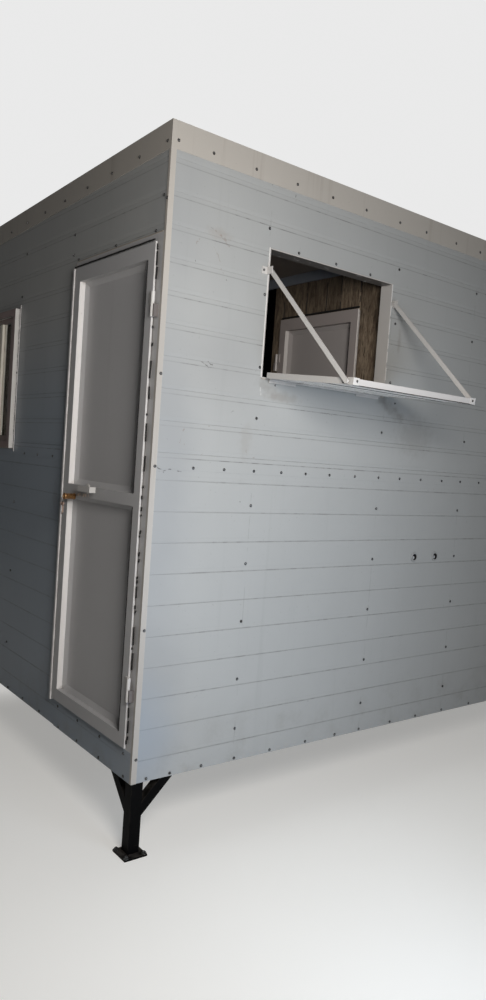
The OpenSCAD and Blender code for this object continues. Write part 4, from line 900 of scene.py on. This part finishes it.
# The seals, shadow lines and sealant. Black rubber down the door leaf's hinge side, torn in places;
# black rubber lines that stand in for shade under the door head, beside the panels, above the inner
# door, under the flap and in the board joints; and smeared beads of cream sealant where the frames
# meet the sheets.
bead_tree, given, result = geometry_group("uneven_bead", Radius="Float", Unevenness="Float", Step="Float")
run = node(bead_tree, "GeometryNodeMeshToCurve", {"Mesh": given["Geometry"]}).outputs[0]
run = node(bead_tree, "GeometryNodeResampleCurve", {"Curve": run, "Length": given["Step"]},
    mode="LENGTH").outputs[0]
shake = node(bead_tree, "ShaderNodeTexNoise", {"Scale": 45.0, "Detail": 2.0}).outputs["Color"]
shake = vectors("SCALE", vectors("SUBTRACT", shake, (0.5, 0.5, 0.5)), given["Unevenness"])
run = node(bead_tree, "GeometryNodeSetPosition", {"Geometry": run, "Offset": shake}).outputs[0]
section = node(bead_tree, "GeometryNodeCurvePrimitiveCircle",
    {"Resolution": 6, "Radius": given["Radius"]}).outputs[0]
tube = node(bead_tree, "GeometryNodeCurveToMesh", {"Curve": run, "Profile Curve": section, "Fill Caps": True})
hand_out_dressed(node(bead_tree, "GeometryNodeSetShadeSmooth", {"Geometry": tube.outputs[0]}), given, result)


def bead(name, lines, radius, unevenness, step, body="cabin_body", slot="grey_plastic", finish=rubber_and_shadow_black):
    along_lines(name, bead_tree, lines, body, slot, Radius=radius, Unevenness=unevenness, Step=step,
        Finish=finish)


# Painted shade: the first line, black rubber under the door head, stands in for the shadow there.
seals_and_head_shadow = [[on_door_wall(0.05, 2.0865, 0.0165), on_door_wall(0.74, 2.0865, 0.0165)]]
torn = random.Random(5)
z = 0.15
while z < 2.05:
    high_up = z > 1.88
    long = high_up or torn.random() < 0.2
    end = min(2.07, z + (torn.uniform(0.03, 0.07) if long else torn.uniform(0.006, 0.016)))
    if not any(low < z < high or low < end < high for low, high in ((1.78, 1.91), (0.30, 0.43))):
        b = 0.0395 + torn.uniform(-0.006, 0.0025)
        seals_and_head_shadow.append([on_door_wall(b, z, 0.0085), on_door_wall(b + torn.uniform(-0.004, 0.003), end,
            0.0085)])
    z = end + (torn.uniform(0.004, 0.012) if high_up else torn.choice((0.005, 0.012, 0.03, 0.055)))
bead("door_seals", seals_and_head_shadow, 0.0032, 0.003, 0.02)
panel_spans = ((0.186, 1.072), (1.126, 2.016))
# Painted shade: a black line along each panel's hinge-side edge stands in for the shadow there.
panel_shadow_runs = [[on_door_wall(0.0948, low, 0.0152), on_door_wall(0.0948, high, 0.0152)] for low, high in panel_spans]
bead("panel_gaskets", panel_shadow_runs, 0.0023, 0.0016, 0.02, "entrance_door_body")
# Painted shade: two thin black lines along the flap's underside, one at the rim's front edge.
flap_shadow_runs = [[on_hatch_wall(a, z, out) for a in (rim_low.x - corner.x + 0.002, 0.75, 1.0,
    rim_high.x - corner.x - 0.002)] for out, z in ((0.5205, 1.5826), (0.36, 1.5972))]
bead("flap_strips", flap_shadow_runs, 0.0015, 0.0006, 0.03, "flap_body")
partition_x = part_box("inner_door_leaf")[0].x - corner.x
# Painted shade: a black line above the inner door stands in for the shadow gap there.
inner_head_shadow = [Vector((corner.x + 1.2970, corner.y + b, corner.z + 2.0905)) for b in (0.25, 0.55, 0.845)]
bead("inner_door_seals", [inner_head_shadow], 0.0050, 0.001, 0.03)
# Painted shade: a black line along each inner panel's edge stands in for the shadow there.
inner_panel_shadow_runs = [[Vector((corner.x + partition_x + 0.0002, corner.y + 0.2955, corner.z + z)) for z in pair]
    for pair in panel_spans]
bead("inner_panel_gaskets", inner_panel_shadow_runs, 0.0022, 0.0012, 0.02, "inner_door_body")
bead("board_joints", joint_shadow_runs, 0.0021, 0.001, 0.04)
filler = painted("white_filler", paint(238, 236, 233), paint(150, 142, 132), 0.1, 0.0, 0.4, 0.2, roughness=0.55)
sealant = painted("cream_sealant", paint(178, 168, 156), paint(96, 84, 72), 0.2, 0.1, 0.5, 0.3, roughness=0.6)
bead_lines = [[on_door_wall(0.7555, z, 0.001) for z in (0.12, 0.6, 1.1, 1.6, 2.11)],
    [on_door_wall(b, 2.1155, 0.001) for b in (0.75, 0.5, 0.25, 0.02)],
    [on_door_wall(b, z, 0.001) for b, z in ((1.412, 1.257), (1.7, 1.257), (2.1, 1.257))],
    [on_door_wall(b, z, 0.001) for b, z in ((1.412, 1.981), (1.7, 1.981), (2.1, 1.981))],
    [on_hatch_wall(a, 1.626, 0.001) for a in (0.50, 0.8, 1.1, 1.25)]]
bead("sealant_beads", bead_lines, 0.0024, 0.0022, 0.012, slot="cream_flashing", finish=sealant)
flashing_lines = [[on_door_wall(1.4015, z, 0.003) for z in (1.243, 1.5, 1.75, 1.998)]]
bead("window_flashing", flashing_lines, 0.0026, 0.001, 0.03, slot="white_joinery", finish=white)

# The glazing. A deep upright bar across each pane, beads that hold it, and black rubber lines that
# stand in for shade: one under the head, and broken ones in the gap where sealant has come away beside
# the frame.
pane_low, pane_high = (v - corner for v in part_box("window_glass"))
sash_low, sash_high = (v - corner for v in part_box("window_sashes"))
pane_top, pane_foot = pane_high.z - 0.001, pane_low.z + 0.001
bar = mesh_object("bar", board(1.0, 1.0, 1.0, 0.06))
cream_bar = painted("cream_glazing_bar", paint(236, 229, 214), paint(120, 104, 88), 0.08, 0.05, 0.5, 0.4,
    lit_front_tone=paint(246, 240, 228))
bar_spots = []
for b, broad, out, far in ((1.614, 0.034, 0.024, 1), (1.592, 0.010, 0.010, 1), (1.491, 0.030, 0.011, 0)):
    for place in (b, sash_low.y + sash_high.y - b):
        bar_spots.append((far, (on_door_wall(place, pane_foot, out), (0, 0, 1),
            (broad, out - 0.0005, pane_top - pane_foot), (0, -1, 0))))
lay("glazing_bars", bar, [spot for far, spot in bar_spots if far], cream_bar, "cabin_body",
    wander=0.0)
lay("glazing_beads", bar, [spot for far, spot in bar_spots if not far], filmed, "cabin_body",
    wander=0.0)
# Painted shade: broken black lines beside the frame and one under the head stand in for the shade there.
window_shadow_runs = [[on_door_wall(1.4075, low, 0.0025), on_door_wall(1.4075, high, 0.0025)]
    for low, high in ((1.291, 1.325), (1.345, 1.356), (1.402, 1.432), (1.452, 1.462), (1.497, 1.531),
    (1.59, 1.60), (1.73, 1.786), (1.80, 1.812), (1.824, 1.874))]
window_shadow_runs += [[on_door_wall(b, 1.947, 0.0225) for b in (1.452, 1.75, 2.074)]]
bead("window_gaskets", window_shadow_runs, 0.0026, 0.0012, 0.02)
jamb_low, jamb_high = (v.x - corner.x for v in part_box("hatch_lining_frame"))
jamb_edges = [[on_hatch_wall(jamb_low - 0.0015, z, 0.0005) for z in (1.632, 1.9, 2.162)]]
z = 1.64
while z < 2.14:
    end = min(2.158, z + torn.uniform(0.03, 0.09))
    jamb_edges.append([on_hatch_wall(jamb_high + 0.0015, z, 0.0005),
        on_hatch_wall(jamb_high + 0.0015, end, 0.0005)])
    z = end + torn.uniform(0.01, 0.03)
bead("hatch_edge_filler", jamb_edges, 0.0021, 0.0006, 0.02, slot="white_joinery", finish=filler)

# The lock. A brass cylinder with a turned rim round a sunk face, and three worn keys on a ring that
# hangs from it.
lock_low, lock_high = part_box("door_lock")
lock_mid = (lock_low + lock_high) / 2
deep = lock_high.x - lock_low.x
turned_left = Matrix.Rotation(math.radians(-90), 4, "Y")
barrel = mesh_object("lock_barrel", lathe([(0, 0), (0.0139, 0), (0.0139, 0.004), (0.0126, 0.0055),
    (0.0126, deep - 0.007), (0.0137, deep - 0.0055), (0.0137, deep - 0.0012), (0.0128, deep), (0.009, deep),
    (0.0086, deep - 0.0012), (0, deep - 0.0012)], 28), brass, smooth=40)
barrel.data.transform(Matrix.Translation((lock_high.x, lock_mid.y, lock_mid.z)) @ turned_left)
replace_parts(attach(barrel, "entrance_door_body"), "door_lock")
ring_at = Vector((lock_low.x + 0.0025, lock_mid.y + 0.014, lock_mid.z - 0.014))
ring = [ring_at + Vector((0.0, 0.013 * math.sin(2 * math.pi * i / 16), 0.013 * math.cos(2 * math.pi * i / 16)))
    for i in range(17)]
bead("key_ring", [ring], 0.0009, 0.0, 0.004, "entrance_door_body", "galvanised", finish=zinc)
key_shape = bmesh.new()
blade = [(0.0, 0.008), (0.007, 0.006), (0.0085, 0.0), (0.007, -0.006), (0.0035, -0.0085), (0.0035, -0.011),
    (0.0035, -0.03), (0.0022, -0.032), (0.0035, -0.034), (0.0018, -0.0365), (0.0035, -0.039), (0.0015, -0.0415),
    (0.0028, -0.044), (0, -0.047), (-0.0028, -0.045), (-0.0028, -0.011), (-0.0035, -0.0085), (-0.007, -0.006),
    (-0.0085, 0.0), (-0.007, 0.006)]
sides = [[key_shape.verts.new((u, d, v)) for u, v in blade] for d in (-0.001, 0.001)]
key_shape.faces.new(sides[0])
key_shape.faces.new(sides[1][::-1])
for i in range(len(blade)):
    j = (i + 1) % len(blade)
    key_shape.faces.new((sides[0][j], sides[0][i], sides[1][i], sides[1][j]))
bmesh.ops.recalc_face_normals(key_shape, faces=key_shape.faces)
key = mesh_object("key", key_shape)
worn_key = painted("worn_key_metal", paint(104, 80, 66), paint(44, 34, 30), 0.3, 0.0, 0.5, 0.5,
    paint(160, 136, 122), Metallic=0.2)
hung = [(ring_at + Vector((0.002, 0.001, -0.020)), (0.12, 0.1, 1.0), (1, 1, 1), (0.9, 0.4, 0)),
    (ring_at + Vector((-0.003, -0.002, -0.021)), (-0.1, -0.08, 1.0), (1, 1, 1), (0.5, 0.9, 0)),
    (ring_at + Vector((0.0, 0.002, -0.019)), (0.0, 0.22, 1.0), (1, 0.9, 0.9), (1.0, -0.3, 0))]
lay("hanging_keys", key, hung, worn_key, "entrance_door_body", seed=2, wander=0.0)

# The levers' roses. Thin pressed discs under each lever's neck.
rose = mesh_object("rose", lathe([(0.0095, 0.0001), (0.021, 0.0001), (0.0214, 0.0012), (0.0196, 0.0032),
    (0.0125, 0.0044), (0.0095, 0.0044)], 24), smooth=40)
lay("door_rose", rose, [(on_door_wall(0.486, 1.114, 0.0151), (-1, 0, 0))], white_steel, "entrance_door_body",
    seed=6)
inner_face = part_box("inner_door_leaf")[0].x
lay("inner_rose", rose, [(Vector((inner_face - 0.0001, corner.y + 0.355, corner.z + 1.114)), (-1, 0, 0))],
    white_steel, "inner_door_body", seed=6)

# The roof's screws. One with a rubber washer on every rib's crest along each beam.
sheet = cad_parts["roof_sheet"].data
edge_y = min(v.co.y for v in sheet.vertices)
top_z = max(v.co.z for v in sheet.vertices)
crest = sorted({round(v.co.x, 3) for v in sheet.vertices if v.co.y < edge_y + 0.001 and v.co.z > top_z - 0.001})
roof_spots = []
for left, right_edge in zip(crest[::2], crest[1::2]):
    for b in (0.12, 0.69, 1.22, 1.79, 2.32):
        roof_spots.append((Vector(((left + right_edge) / 2, corner.y + b,
            top_z - fall * (corner.y + b - edge_y) + clear)), (0, fall, 1)))
lay("roof_washers", washer, roof_spots, rubber_and_shadow_black, "cabin_body", scale=1.3, seed=8)
lay("roof_screws", screw, [(at + Vector((0, 0, 0.0012)), way) for at, way in roof_spots], zinc, "cabin_body",
    scale=1.3, seed=8)

for template in (screw, washer, bolt, plank, rivet, key, rose, bar, pipe):
    bpy.data.objects.remove(template)
for tree in (laying, welding, bead_tree):
    bpy.data.node_groups.remove(tree)

low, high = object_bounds()
